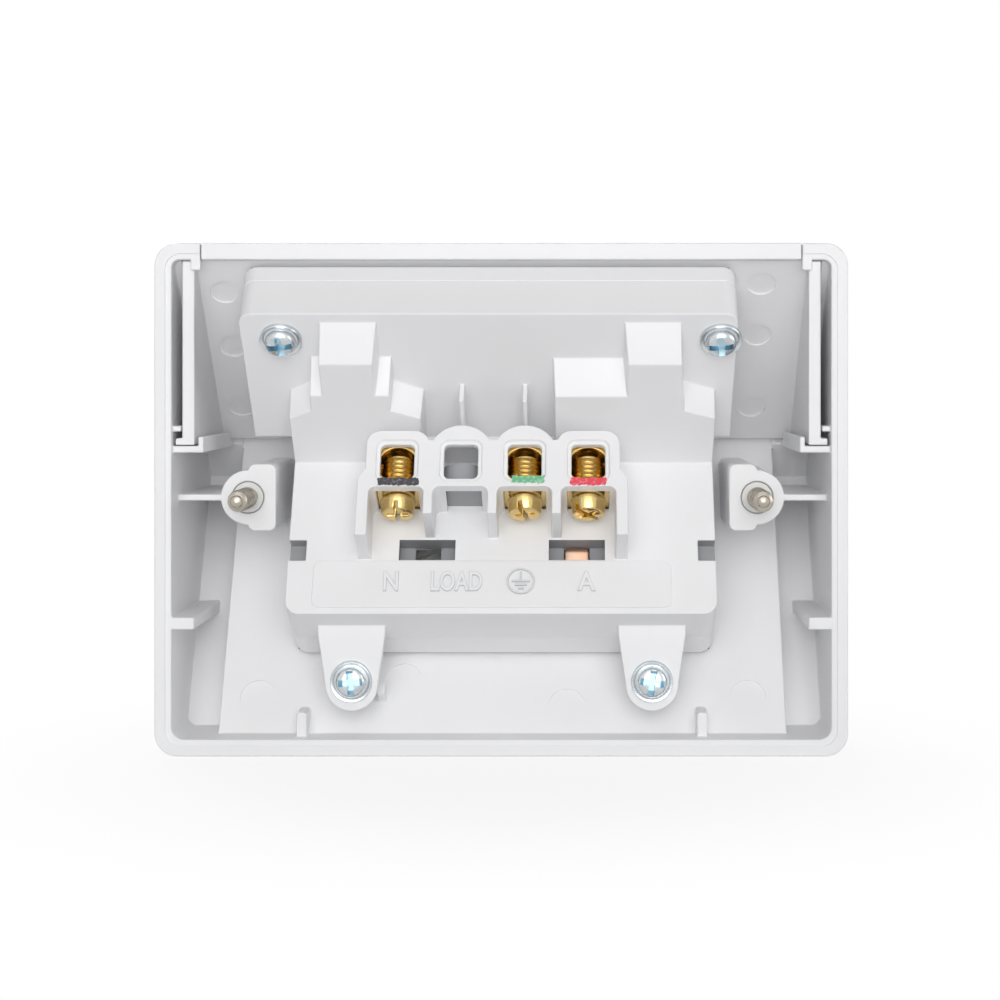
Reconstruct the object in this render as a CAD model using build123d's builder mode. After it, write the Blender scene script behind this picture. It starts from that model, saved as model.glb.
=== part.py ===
import math
import os

from build123d import *

os.makedirs("parts", exist_ok=True)

# Frame: the wall is the XZ plane, +Y goes into the wall, -Y is the front, +Z is up.
# Sketch planes below look from behind, so their local x runs to the right as seen from the wall.

# Overall shell
housing_width = 112.4
housing_height = 83.2
corner_radius = 3.7
front_edge_radius = 2.2
rim_thickness = 2.7
rim_foot_radius = 2.0
rim_top_radius = 1.3
rim_top_web = 4.0
web_overlap = 0.5
slide_clearance = 0.2

# Lower panel, tilted to face down and forward
panel_angle = 30.0
panel_foot_depth = 6.0
panel_thickness = 2.4
cheek_width = 9.35
recess_depth = 7.3
cheek_step_thickness = 2.2

# Hood slope, tilted to face up and forward
slope_angle = 44.0
slope_top_depth = 3.0
slope_top_drop = 3.4
slope_thickness = 2.5
slope_end_gap = 2.11
slope_end_overlap = 1.25
hood_gap = 4.25
hood_side_thickness = 2.0
hood_side_set_back = 1.5
hood_side_foot_height = 8.8
hood_foot_reach = 1.1
hood_rim_step = 3.3

# Clips and ribs between housing and hood
arm_depth = 2.2
clip_width = 1.6
clip_drop = 1.7
clip_thickness = 1.2
bracket_reach = 3.45
bracket_thickness = 1.1
bracket_upturn_height = 1.5
bracket_wall = 0.85
snap_rib_height = 11.0
snap_rib_thickness = 0.9
shelf_height = -20.1
shelf_thickness = 2.0
shelf_width = 3.7
shelf_depth = 26.5
shelf_rake = 1.0

# Wall screws and their bosses
mount_spacing = 84.0
boss_radius = 4.5
boss_near_depth = 6.4
boss_block_width = 4.6
boss_block_height = 11.0
boss_block_corner = 1.1
boss_reach = 30.0
shank_run_out = 0.3
boss_rib_thickness = 1.05
post_inner = 31.9
post_outer = 33.6
post_height = 4.0
post_near_depth = 3.0
post_reach = 8.0
post_root = 0.5
post_corner = 0.5
screw_seat_depth = 12.0
mount_screw_radius = 1.75
mount_shank_radius = 1.45
mount_head_radius = 3.3
mount_head_thickness = 2.4
mount_tip_reach = 5.0
mount_dog_length = 1.2
mount_dog_radius = 1.0
screw_clearance = 0.25
retainer_radius = 2.5
retainer_thickness = 0.9

# Mechanism body
body_half_width = 35.0
body_length = 53.47
body_foot = 14.0
rear_rise = 17.0
panel_parting = 7.0
slope_parting = 4.0
upper_rise = 11.5
tower_rise = 16.2
upper_left = -42.0
upper_right = 38.1
upper_top = -0.35
upper_draft = 0.065
upper_corner_radius = 2.2
lower_corner_radius = 2.4
gasket_thickness = 0.8
body_wall = 2.0

# Ears and the screws of the mechanism
ear_spacing = 49.0
ear_depth = 2.2
ear_thickness = 2.2
ear_root_width = 11.0
ear_radius = 4.3
ear_screw_height = -29.7
ear_top_height = -16.5
ear_shoulder_height = -22.0
upper_screw_spacing = 71.0
upper_screw_down = 5.8
screw_core_radius = 1.4
screw_flange_radius = 3.4
screw_flange_thickness = 0.7
screw_head_radius = 2.5
screw_head_thickness = 1.5
screw_tip_gap = 0.5
hood_boss_radius = 2.9
hood_boss_rise = 5.5
pillar_radius = 3.0

# Terminals
terminal_pitch = 10.38
terminal_middle = -1.44
shroud_rise = 9.3
shroud_root = 6.0
shroud_foot = 23.7
partition_foot = 27.5
well_top = 32.35
tunnel_foot = 34.0
tunnel_top = 40.2
tunnel_width = 5.5
shroud_skin = 1.7
partition_thickness = 1.5
lobe_centre = 38.4
lobe_radius = 5.2
lobe_valley = 40.9
lobe_flat_top = 42.6
lobe_half_width = 5.14
lobe_corner_radius = 2.5
shroud_side_step = 1.2
shroud_step_foot = 33.8
shroud_step_top = 35.6
well_opening_width = 6.8
free_opening_width = 5.8
free_opening_shift = 0.45
opening_drop = 0.35
well_corner_radius = 1.2
terminal_width = 7.6
terminal_foot = 33.1
terminal_top = 41.2
terminal_bottom = 14.95
terminal_screw_rise = 4.0
terminal_bore_radius = 3.2
terminal_screw_radius = 1.9
terminal_head_radius = 2.85
terminal_head_length = 2.5
terminal_screw_end = 40.3
membrane_set_back = 0.4
membrane_thickness = 0.6
membrane_root = 0.3
fit_clearance = 0.15

# Windows, notches and label plate of the rear cover
window_width = 9.2
window_foot = 23.5
window_top = 27.15
window_spacing = 24.5
window_depth = 3.2
window_back = 0.8
window_margin = 1.0
window_slot_width = 4.2
notch_width = 2.9
notch_depth = 2.5
notch_back = 0.8
label_left = -30.7
label_right = 27.7
label_foot = 15.0
label_top = 23.3
label_rise = 0.4

# Socket faces
socket_spacing = 44.0
socket_height = 31.0
socket_face_width = 25.4
socket_face_foot = -15.0
socket_face_top = 9.8
socket_face_proud = 0.6
pin_radius_active = 7.92
pin_radius_earth = 10.31
slot_length = 7.0
slot_width = 2.0
slot_angle = 30.0

# Spring contacts and bars
contact_strip = 0.8
contact_gap = 1.5
contact_length = 6.6
contact_foot_rise = 4.6
contact_top_rise = 12.6
seat_width = 6.0
seat_length = 9.4
earth_web_height = 3.4
active_bar_rise = 14.15
bar_width = 3.0
neutral_bar_height = 28.0
active_bar_height = 44.0

# Switches
switch_spacing = 49.0
switch_down = 16.6
tower_cavity_half = 3.3
tower_cavity_top = 8.0
tower_cavity_reach = 1.67
rocker_width = 12.0
rocker_half_length = 8.6
rocker_end_rise = 6.6
rocker_middle_rise = 5.6
rocker_under_rise = 3.0
rocker_pivot_rise = 2.2
rocker_pin_radius = 1.2
rocker_pin_reach = 1.4
rocker_rest_tilt = 7.0
rocker_stem = 4.4
rocker_stem_rise = 5.0
rocker_end_clearance = 1.3
rocker_side_clearance = 0.45
rocker_collar_rise = 4.4
plunger_radius = 1.3
plunger_length = 4.6
plunger_tip_rise = 6.8
arm_pivot_rise = 10.2
arm_length = 11.0
arm_width = 5.0
arm_thickness = 0.8
arm_rest_tilt = 6.0
arm_bead_radius = 0.5
knife_gap = 0.15
strip_end_gap = 3.36

# Flaps
flap_end_gap = 1.95
flap_middle_gap = 6.2
flap_foot = 4.5
flap_top = 48.4
flap_plate_thickness = 2.0
flap_skirt_thickness = 1.8
flap_proud = 0.1
flap_skirt_gap = 0.8
finger_half_width = 8.0
finger_reach = 1.4
finger_thickness = 1.6
seal_inset = 0.3
hinge_height = 50.6
hinge_rise = -6.2
hinge_pin_radius = 1.2
hinge_running_clearance = 0.05
hinge_knuckle_radius = 2.4
hinge_end_gap = 0.4

# Fins above the middle lobes
fin_thickness = 0.8
fin_length = 11.5
fin_height = 4.5
fin_end_gap = 0.92

# Ejector marks
mark_depth = 0.3
slope_mark_radius = 2.4
panel_mark_radius = 3.0
slope_mark_inset = 5.95
peg_middle = -20.05
peg_foot = 5.6
peg_width = 1.3
peg_length = 2.0
peg_height = 3.5
panel_mark_inset = 6.15
cut_reach = 120.0

# Values that follow from the sizes above
half_width = housing_width / 2
half_height = housing_height / 2
wall_inner = half_width - rim_thickness
floor_height = rim_thickness - half_height
panel_sine = math.sin(math.radians(panel_angle))
panel_cosine = math.cos(math.radians(panel_angle))
slope_sine = math.sin(math.radians(slope_angle))
slope_cosine = math.cos(math.radians(slope_angle))
slope_top_height = half_height - slope_top_drop
cheek_rise = -panel_thickness - recess_depth
cheek_inner_rise = cheek_rise + panel_thickness
shroud_top = rear_rise + shroud_rise
mount_half = mount_spacing / 2
panel_half_width = half_width - cheek_width
recess_half_width = panel_half_width - cheek_step_thickness
flap_width = recess_half_width - flap_end_gap - flap_middle_gap / 2
flap_spacing = flap_width + flap_middle_gap
hood_side_outer = half_width - hood_gap
hood_rim_half_width = hood_side_outer - hood_rim_step
arm_inner = hood_rim_half_width + fit_clearance
bracket_inner = hood_side_outer - bracket_reach
shelf_inner = wall_inner - shelf_width
boss_block_inner = mount_half - boss_block_width


def foot_point(up, rise):
    """Side-view point that lies up the lower panel from its foot and rise above its inner face."""
    depth = panel_foot_depth + up * panel_sine - rise * panel_cosine
    height = floor_height + up * panel_cosine + rise * panel_sine
    return (-depth, height)


def slope_point(down, rise):
    """Side-view point that lies down the hood slope and rise above its inner face."""
    depth = slope_top_depth + down * slope_sine - rise * slope_cosine
    height = slope_top_height - down * slope_cosine - rise * slope_sine
    return (-depth, height)


def ridge_down(panel_rise, slope_rise):
    """Distance down the slope at which its level meets a level of the panel."""
    turn = math.sin(math.radians(panel_angle + slope_angle))
    start = slope_point(0, slope_rise)
    foot = foot_point(0, panel_rise)
    across = start[0] - foot[0]
    above = start[1] - foot[1]
    return (above * panel_sine + across * panel_cosine) / turn


def ridge_point(panel_rise, slope_rise):
    """Side-view point at which a level of the panel meets a level of the slope."""
    return slope_point(ridge_down(panel_rise, slope_rise), slope_rise)


def ridge_up(panel_rise, slope_rise):
    """Distance up the panel from its foot at which its level meets a level of the slope."""
    ridge_height = ridge_point(panel_rise, slope_rise)[1]
    return (ridge_height - floor_height - panel_rise * panel_sine) / panel_cosine


# The mechanism hangs from the ridge, so its datum lies a fixed length down the panel
body_datum = ridge_up(0, 0) - body_length
slope_length = ridge_down(0, 0) - slope_end_gap
upper_bottom = ridge_down(rear_rise, upper_rise)


def panel_point(up, rise):
    """Side-view point that lies up the lower panel from the datum and rise above its inner face."""
    return foot_point(up + body_datum, rise)


def wall_plane(depth):
    """Plane parallel to the wall, seen from behind."""
    return Plane(origin=(0, -depth, 0), x_dir=(-1, 0, 0), z_dir=(0, 1, 0))


def panel_plane(rise):
    """Plane parallel to the lower panel, seen from behind, with y up the panel."""
    foot = panel_point(0, rise)
    normal = (0, panel_cosine, panel_sine)
    return Plane(origin=(0, foot[0], foot[1]), x_dir=(-1, 0, 0), z_dir=normal)


def slope_plane(rise):
    """Plane parallel to the hood slope, seen from behind, with y up the slope."""
    top = slope_point(0, rise)
    normal = (0, slope_cosine, -slope_sine)
    return Plane(origin=(0, top[0], top[1]), x_dir=(-1, 0, 0), z_dir=normal)


def side_plane(right):
    """Plane of the side view at a distance to the right as seen from behind."""
    return Plane(origin=(-right, 0, 0), x_dir=(0, 1, 0), z_dir=(1, 0, 0))


def side_block(points, right_from, right_to, mode=Mode.ADD):
    """Side-view outline made solid between two distances to the right."""
    with BuildSketch(side_plane(right_to)) as outline:
        Polygon(*points)
    extrude(outline.sketch, amount=right_to - right_from, mode=mode)


def level_block(plane, x_from, x_to, y_from, y_to, height, mode=Mode.ADD):
    """Straight block that stands on a plane."""
    with BuildSketch(plane) as outline:
        with Locations(((x_from + x_to) / 2, (y_from + y_to) / 2)):
            Rectangle(x_to - x_from, y_to - y_from)
    extrude(outline.sketch, amount=height, mode=mode)


def level_cylinder(plane, x, y, radius, height, mode=Mode.ADD):
    """Round post or hole that stands on a plane."""
    with BuildSketch(plane) as outline:
        with Locations((x, y)):
            Circle(radius)
    extrude(outline.sketch, amount=height, mode=mode)


def mirrored(side, inner, outer):
    """Ordered pair of distances to the right for a feature on one side."""
    return (min(side * inner, side * outer), max(side * inner, side * outer))


# Housing outline in side view, with the cheeks
slope_outer_top = slope_point(0, -slope_thickness)
cheek_nose = ridge_point(cheek_rise, -slope_thickness)
rise_to_top = half_height - slope_outer_top[1]
top_front = (slope_outer_top[0] + rise_to_top * slope_sine / slope_cosine, half_height)
cheek_start = panel_point(0, cheek_rise)
drop_to_bottom = -half_height - cheek_start[1]
bottom_front = (cheek_start[0] - drop_to_bottom * panel_sine / panel_cosine, -half_height)
cheek_inner_start = panel_point(0, cheek_inner_rise)
drop_to_floor = floor_height - cheek_inner_start[1]
floor_front = (cheek_inner_start[0] - drop_to_floor * panel_sine / panel_cosine, floor_height)
cheek_inner_nose = ridge_point(cheek_inner_rise, 0)
slope_inner_top = slope_point(0, 0)
inner_top_height = half_height - rim_thickness
inner_top = (
    slope_inner_top[0] + (inner_top_height - slope_inner_top[1]) * slope_sine / slope_cosine,
    inner_top_height,
)
far_panel = panel_point(cut_reach, 0)
past_rear = 5.0

with BuildPart() as housing:
    side_block(
        [(0, -half_height), bottom_front, cheek_nose, top_front, (0, half_height)],
        -half_width,
        half_width,
    )
    corner_edges = housing.edges().filter_by(Axis.Y)
    fillet(corner_edges, corner_radius)
    front_edges = housing.edges().filter_by(Axis.X)
    nose_edge = front_edges.sort_by(Axis.Y)[0]
    fillet(nose_edge, front_edge_radius)
    # Open middle above the panel
    side_block(
        [
            (past_rear, floor_height),
            foot_point(0, 0),
            far_panel,
            (far_panel[0], housing_height),
            (past_rear, housing_height),
        ],
        -panel_half_width,
        panel_half_width,
        Mode.SUBTRACT,
    )
    # Room of the hood
    hood_room = hood_side_outer + slide_clearance
    hood_room_end = slope_length + slope_end_overlap
    side_block(
        [
            slope_point(-20, -8),
            slope_point(hood_room_end, -8),
            slope_point(hood_room_end, 45),
            slope_point(-20, 45),
        ],
        -hood_room,
        hood_room,
        Mode.SUBTRACT,
    )
    # Hollow cheeks
    for side in (-1, 1):
        cheek_from, cheek_to = mirrored(side, panel_half_width, wall_inner)
        side_block(
            [
                (past_rear, floor_height),
                floor_front,
                cheek_inner_nose,
                inner_top,
                (past_rear, inner_top_height),
            ],
            cheek_from,
            cheek_to,
            Mode.SUBTRACT,
        )
    for side in (-1, 1):
        # Rounded inner corners of the rim
        rim_corners = (
            (floor_height, 1, rim_foot_radius, -floor_front[0]),
            (inner_top_height, -1, rim_top_radius, rim_top_web),
        )
        for corner_height, inward, web_radius, web_depth in rim_corners:
            web_middle = (web_radius - web_overlap) / 2
            with BuildSketch(wall_plane(0)):
                with Locations((side * (wall_inner - web_middle), corner_height + inward * web_middle)):
                    Rectangle(web_radius + web_overlap, web_radius + web_overlap)
                with Locations((side * (wall_inner - web_radius), corner_height + inward * web_radius)):
                    Circle(web_radius, mode=Mode.SUBTRACT)
            extrude(amount=-web_depth)
        # Arms of the rear rim and the clips that hang from them
        arm_from, arm_to = mirrored(side, arm_inner, wall_inner)
        level_block(wall_plane(0), arm_from, arm_to, inner_top_height, half_height, -arm_depth)
        clip_from, clip_to = mirrored(side, arm_inner, arm_inner + clip_width)
        clip_foot = inner_top_height - clip_drop
        level_block(wall_plane(0), clip_from, clip_to, clip_foot, inner_top_height, -clip_thickness)
        # Bracket under the side wall of the hood
        bracket_top = hood_side_foot_height - fit_clearance
        bracket_from, bracket_to = mirrored(side, bracket_inner, wall_inner)
        bracket_depth = -ridge_point(cheek_inner_rise, 0)[0] - 8
        level_block(
            wall_plane(hood_side_set_back),
            bracket_from,
            bracket_to,
            bracket_top - bracket_thickness,
            bracket_top,
            -bracket_depth,
        )
        upturn_from, upturn_to = mirrored(side, bracket_inner, bracket_inner + bracket_wall)
        level_block(
            wall_plane(hood_side_set_back),
            upturn_from,
            upturn_to,
            bracket_top,
            bracket_top + bracket_upturn_height,
            -bracket_depth + 2,
        )
        rib_from, rib_to = mirrored(side, hood_room, wall_inner)
        level_block(
            wall_plane(hood_side_set_back),
            rib_from,
            rib_to,
            snap_rib_height,
            snap_rib_height + snap_rib_thickness,
            -6,
        )
        # Shelf in the cheek
        shelf_from, shelf_to = mirrored(side, shelf_inner, wall_inner)
        side_block(
            [
                (0, shelf_height - shelf_thickness / 2),
                (0, shelf_height + shelf_thickness / 2),
                (-shelf_depth, shelf_height + shelf_thickness / 2),
                (shelf_rake - shelf_depth, shelf_height - shelf_thickness / 2),
            ],
            shelf_from,
            shelf_to,
        )
        # Boss of the wall screw with its block and rib
        with BuildSketch(wall_plane(boss_near_depth)):
            with Locations((side * mount_half, 0)):
                Circle(boss_radius)
            with Locations((side * (mount_half + boss_block_inner) / 2, 0)):
                RectangleRounded(boss_block_width, boss_block_height, boss_block_corner)
        extrude(amount=-boss_reach)
        web_from, web_to = mirrored(side, mount_half + boss_radius - 0.5, wall_inner)
        level_block(
            wall_plane(boss_near_depth),
            web_from,
            web_to,
            -boss_rib_thickness / 2,
            boss_rib_thickness / 2,
            -boss_reach,
        )
        # Pillar under each ear
        pillar_near = ear_depth + ear_thickness
        level_cylinder(
            wall_plane(pillar_near), side * ear_spacing / 2, ear_screw_height, pillar_radius, -16
        )
        # Post at the bottom wall
        post_from, post_to = mirrored(side, post_inner, post_outer)
        with BuildSketch(wall_plane(post_near_depth)):
            with Locations(((post_from + post_to) / 2, floor_height + (post_height - post_root) / 2)):
                RectangleRounded(post_outer - post_inner, post_height + post_root, post_corner)
        extrude(amount=-post_reach)
    # Recess of the flaps
    side_block(
        [
            panel_point(-cut_reach, -panel_thickness),
            panel_point(cut_reach, -panel_thickness),
            panel_point(cut_reach, -cut_reach),
            panel_point(-cut_reach, -cut_reach),
        ],
        -recess_half_width,
        recess_half_width,
        Mode.SUBTRACT,
    )
    # Lug between the flap pins
    lug_half = (flap_spacing - flap_width) / 2 - hinge_end_gap
    side_block(
        [
            panel_point(hinge_height - 3.2, -panel_thickness + 0.5),
            panel_point(hinge_height + 3.2, -panel_thickness + 0.5),
            panel_point(hinge_height + 2.2, hinge_rise - 2.2),
            panel_point(hinge_height - 2.2, hinge_rise - 2.2),
        ],
        -lug_half,
        lug_half,
    )
    # Holes of the wall screws, pillars and flap pins
    shank_hole_radius = mount_shank_radius + screw_clearance
    head_hole_radius = mount_head_radius + screw_clearance
    for side in (-1, 1):
        level_cylinder(wall_plane(-1), side * mount_half, 0, shank_hole_radius, -60, Mode.SUBTRACT)
        level_cylinder(
            wall_plane(screw_seat_depth), side * mount_half, 0, head_hole_radius, -60, Mode.SUBTRACT
        )
        ring_hole_radius = retainer_radius + fit_clearance
        level_cylinder(
            wall_plane(-1),
            side * mount_half,
            0,
            ring_hole_radius,
            -1 - boss_near_depth - retainer_thickness - fit_clearance,
            Mode.SUBTRACT,
        )
        level_cylinder(
            wall_plane(-1),
            side * ear_spacing / 2,
            ear_screw_height,
            screw_core_radius + 0.05,
            -1 - pillar_near - 6,
            Mode.SUBTRACT,
        )
        # Aperture of each socket face
        face_half = socket_face_width / 2 + fit_clearance
        with BuildSketch(panel_plane(1)):
            with Locations(
                (
                    side * socket_spacing / 2,
                    socket_height + (socket_face_foot + socket_face_top) / 2,
                )
            ):
                RectangleRounded(
                    2 * face_half, socket_face_top - socket_face_foot + 2 * fit_clearance, 4
                )
        extrude(amount=-6, mode=Mode.SUBTRACT)
    hinge_y, hinge_z = panel_point(hinge_height, hinge_rise)
    pin_end = recess_half_width + 1.4
    with BuildSketch(side_plane(pin_end)):
        with Locations((hinge_y, hinge_z)):
            Circle(hinge_pin_radius + 0.02)
    extrude(amount=2 * pin_end, mode=Mode.SUBTRACT)
    # Small peg beside the left ear of the mechanism
    level_block(
        panel_plane(-web_overlap),
        peg_middle - peg_width / 2,
        peg_middle + peg_width / 2,
        peg_foot,
        peg_foot + peg_length,
        peg_height + web_overlap,
    )
    # Marks left by the mould on the panel
    mark_edge = panel_half_width - panel_mark_inset
    panel_marks = ((-mark_edge, 6.4), (mark_edge, 6.4), (-16.6, 9.4), (10.6, 4.9))
    for mark_x, mark_y in panel_marks:
        level_cylinder(panel_plane(0), mark_x, mark_y, panel_mark_radius, -mark_depth, Mode.SUBTRACT)
housing.part.label = "housing"
export_step(housing.part, "parts/housing.step")

# Hood
with BuildPart() as hood:
    side_block(
        [
            (0, half_height),
            top_front,
            slope_point(slope_length + slope_end_overlap - slide_clearance, -slope_thickness),
            slope_point(slope_length, 0),
            inner_top,
            (0, inner_top_height),
        ],
        -hood_side_outer,
        hood_side_outer,
    )
    for side in (-1, 1):
        wall_from, wall_to = mirrored(side, hood_side_outer - hood_side_thickness, hood_side_outer)
        side_block(
            [
                (-hood_side_set_back, inner_top_height),
                (-hood_side_set_back, hood_side_foot_height),
                slope_point(slope_length, -0.5),
                slope_point(0, -0.5),
            ],
            wall_from,
            wall_to,
        )
        foot_from, foot_to = mirrored(side, hood_side_outer - 0.5, hood_side_outer + hood_foot_reach)
        level_block(
            wall_plane(hood_side_set_back),
            foot_from,
            foot_to,
            hood_side_foot_height,
            hood_side_foot_height + hood_foot_reach,
            -4,
        )
        # Room for the arms of the housing
        room_from, room_to = mirrored(side, hood_rim_half_width, hood_side_outer + 1)
        level_block(
            wall_plane(-1),
            room_from,
            room_to,
            inner_top_height - fit_clearance,
            half_height + 1,
            -1 - arm_depth - fit_clearance,
            Mode.SUBTRACT,
        )
        # Boss for an upper screw
        level_cylinder(
            slope_plane(-0.5),
            side * upper_screw_spacing / 2,
            -upper_screw_down,
            hood_boss_radius,
            hood_boss_rise + 0.5,
        )
        level_cylinder(
            slope_plane(hood_boss_rise),
            side * upper_screw_spacing / 2,
            -upper_screw_down,
            screw_core_radius + 0.05,
            -hood_boss_rise - 0.8,
            Mode.SUBTRACT,
        )
        # Aperture of a rocker
        with BuildSketch(slope_plane(1)):
            with Locations((side * switch_spacing / 2, -switch_down)):
                RectangleRounded(
                    rocker_width + 2 * rocker_side_clearance,
                    2 * (rocker_half_length + rocker_end_clearance),
                    0.8,
                )
        extrude(amount=-6, mode=Mode.SUBTRACT)
    left_mark = slope_mark_inset - hood_side_outer
    right_mark = hood_side_outer - slope_mark_inset - 3.35
    for mark_x, mark_down in (
        (left_mark, 6.0),
        (left_mark, 18.3),
        (left_mark, 32.6),
        (right_mark, 4.2),
        (right_mark, 15.7),
        (right_mark, 32.8),
    ):
        level_cylinder(
            slope_plane(0), mark_x, -mark_down, slope_mark_radius, -mark_depth, Mode.SUBTRACT
        )
hood.part.label = "hood"
export_step(hood.part, "parts/hood.step")

# Side outlines of the mechanism
front_ridge = ridge_point(gasket_thickness, gasket_thickness)
parting_ridge = ridge_point(panel_parting, slope_parting)
rear_ridge = ridge_point(rear_rise, upper_rise)


def upper_edge(rise):
    """Side-view point on the drafted top strip of the mechanism."""
    return slope_point(upper_top + upper_draft * rise, rise)


front_outline = [
    panel_point(body_foot, gasket_thickness),
    panel_point(body_foot, panel_parting),
    parting_ridge,
    upper_edge(slope_parting),
    upper_edge(gasket_thickness),
    front_ridge,
]
front_cavity = [
    panel_point(body_foot + body_wall, gasket_thickness + body_wall),
    panel_point(body_foot + body_wall, panel_parting + 1),
    ridge_point(panel_parting + 1, slope_parting + 1),
    slope_point(upper_top + 2 * body_wall, slope_parting + 1),
    slope_point(upper_top + 2 * body_wall, gasket_thickness + body_wall),
    ridge_point(gasket_thickness + body_wall, gasket_thickness + body_wall),
]
cavity_half = body_half_width - body_wall
slope_edges = (0, -upper_draft * slope_sine + slope_cosine, -upper_draft * slope_cosine - slope_sine)
panel_normal = Axis((0, 0, 0), (0, panel_cosine, panel_sine))


def round_corners(builder, height_allowance):
    """Round the upper corners and the lower corners of one half of the mechanism."""
    upper = [
        edge
        for edge in builder.edges().filter_by(Axis((0, 0, 0), slope_edges), tolerance=0.5)
        if abs(edge.center().X) > body_half_width + 1 and edge.center().Z > upper_edge(upper_rise)[1] - 4
    ]
    fillet(upper, upper_corner_radius)
    lower = [
        edge
        for edge in builder.edges().filter_by(panel_normal)
        if edge.center().Z < panel_point(body_foot + 1, panel_parting)[1] + height_allowance
    ]
    fillet(lower, lower_corner_radius)


switch_half = switch_spacing / 2
socket_half = socket_spacing / 2
pin_across = pin_radius_active * math.sin(math.radians(60))
pin_up = socket_height + pin_radius_active * math.cos(math.radians(60))

# Socket body, the front half of the mechanism
with BuildPart() as socket_body:
    side_block(front_outline, -body_half_width, body_half_width)
    side_block(
        [
            slope_point(upper_bottom, gasket_thickness),
            slope_point(upper_bottom, slope_parting),
            upper_edge(slope_parting),
            upper_edge(gasket_thickness),
        ],
        upper_left,
        upper_right,
    )
    round_corners(socket_body, 0)
    side_block(front_cavity, -cavity_half, cavity_half, Mode.SUBTRACT)
    for side in (-1, 1):
        # Socket face that fills the aperture of the panel
        with BuildSketch(panel_plane(gasket_thickness + 0.5)):
            with Locations(
                (side * socket_half, socket_height + (socket_face_foot + socket_face_top) / 2)
            ):
                RectangleRounded(socket_face_width, socket_face_top - socket_face_foot, 4)
        extrude(amount=-gasket_thickness - 0.5 - panel_thickness - socket_face_proud)
        # Seats of the spring contacts
        floor_rise = gasket_thickness + body_wall
        for seat_x, seat_y, seat_turn in (
            (side * socket_half - pin_across, pin_up, -slot_angle),
            (side * socket_half + pin_across, pin_up, slot_angle),
            (side * socket_half, socket_height - pin_radius_earth, 0),
        ):
            with BuildSketch(panel_plane(floor_rise - 0.5)):
                with Locations(Location((seat_x, seat_y, 0), (0, 0, seat_turn))):
                    Rectangle(seat_width, seat_length)
            extrude(amount=contact_foot_rise - floor_rise + 0.5)
        # Slots of the three pins
        slot_top = contact_foot_rise + 0.5
        slot_drop = -slot_top - panel_thickness - socket_face_proud - 1
        for hand in (-1, 1):
            pin_x = side * socket_half + hand * pin_across
            with BuildSketch(panel_plane(slot_top)):
                with Locations(Location((pin_x, pin_up, 0), (0, 0, hand * slot_angle))):
                    Rectangle(slot_width, slot_length)
            extrude(amount=slot_drop, mode=Mode.SUBTRACT)
        level_block(
            panel_plane(slot_top),
            side * socket_half - slot_width / 2,
            side * socket_half + slot_width / 2,
            socket_height - pin_radius_earth - slot_length / 2,
            socket_height - pin_radius_earth + slot_length / 2,
            slot_drop,
            Mode.SUBTRACT,
        )
        # Collar and well of a rocker, with slots for its pivot pins
        collar_half = rocker_width / 2 + rocker_pin_reach + 1.0
        level_block(
            slope_plane(gasket_thickness + body_wall - 0.2),
            side * switch_half - collar_half,
            side * switch_half + collar_half,
            -switch_down - 4,
            -switch_down + 4,
            rocker_collar_rise - gasket_thickness - body_wall + 0.2,
        )
        level_block(
            slope_plane(-1),
            side * switch_half - rocker_width / 2 - rocker_side_clearance,
            side * switch_half + rocker_width / 2 + rocker_side_clearance,
            -switch_down - rocker_half_length - rocker_end_clearance,
            -switch_down + rocker_half_length + rocker_end_clearance,
            8,
            Mode.SUBTRACT,
        )
        pin_room = rocker_width / 2 + rocker_pin_reach + 0.3
        level_block(
            slope_plane(-1),
            side * switch_half - pin_room,
            side * switch_half + pin_room,
            -switch_down - rocker_pin_radius - fit_clearance,
            -switch_down + rocker_pin_radius + fit_clearance,
            1 + rocker_pivot_rise + rocker_pin_radius + fit_clearance,
            Mode.SUBTRACT,
        )
        # Bore round the boss of the hood
        level_cylinder(
            slope_plane(-1),
            side * upper_screw_spacing / 2,
            -upper_screw_down,
            hood_boss_radius + 0.3,
            12,
            Mode.SUBTRACT,
        )
socket_body.part.label = "socket_body"
export_step(socket_body.part, "parts/socket_body.step")

# Rear cover, the wall side of the mechanism
rear_outline = [
    panel_point(body_foot, panel_parting),
    panel_point(body_foot, rear_rise),
    rear_ridge,
    upper_edge(upper_rise),
    upper_edge(slope_parting),
    parting_ridge,
]
rear_cavity = [
    panel_point(body_foot + body_wall, panel_parting - 1),
    panel_point(body_foot + body_wall, rear_rise - body_wall),
    ridge_point(rear_rise - body_wall, upper_rise - body_wall),
    slope_point(upper_top + 2 * body_wall, upper_rise - body_wall),
    slope_point(upper_top + 2 * body_wall, slope_parting - 1),
    ridge_point(panel_parting - 1, slope_parting - 1),
]
tower_foot_end = -ridge_down(rear_rise, upper_rise)
tower_top_end = -ridge_down(rear_rise, tower_rise)
tower_cavity_end = ridge_down(rear_rise - body_wall, upper_rise - body_wall) + tower_cavity_reach
left_tower_foot = [
    (-29.0, -2.1),
    (-19.9, -2.1),
    (-19.9, -9.6),
    (-17.9, -9.6),
    (-17.9, -15.0),
    (-13.0, -17.2),
    (-13.0, tower_foot_end),
    (-body_half_width, tower_foot_end),
    (-body_half_width, -17.2),
    (-31.0, -15.0),
    (-31.0, -9.6),
    (-29.0, -9.6),
]
left_tower_top = [
    (-29.2, -7.2),
    (-20.6, -7.2),
    (-20.6, -14.2),
    (-18.3, -14.2),
    (-18.3, -17.6),
    (-13.4, -19.4),
    (-13.4, tower_top_end),
    (-body_half_width, tower_top_end),
    (-body_half_width, -19.4),
    (-31.2, -17.6),
    (-31.2, -14.2),
    (-29.2, -14.2),
]
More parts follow.
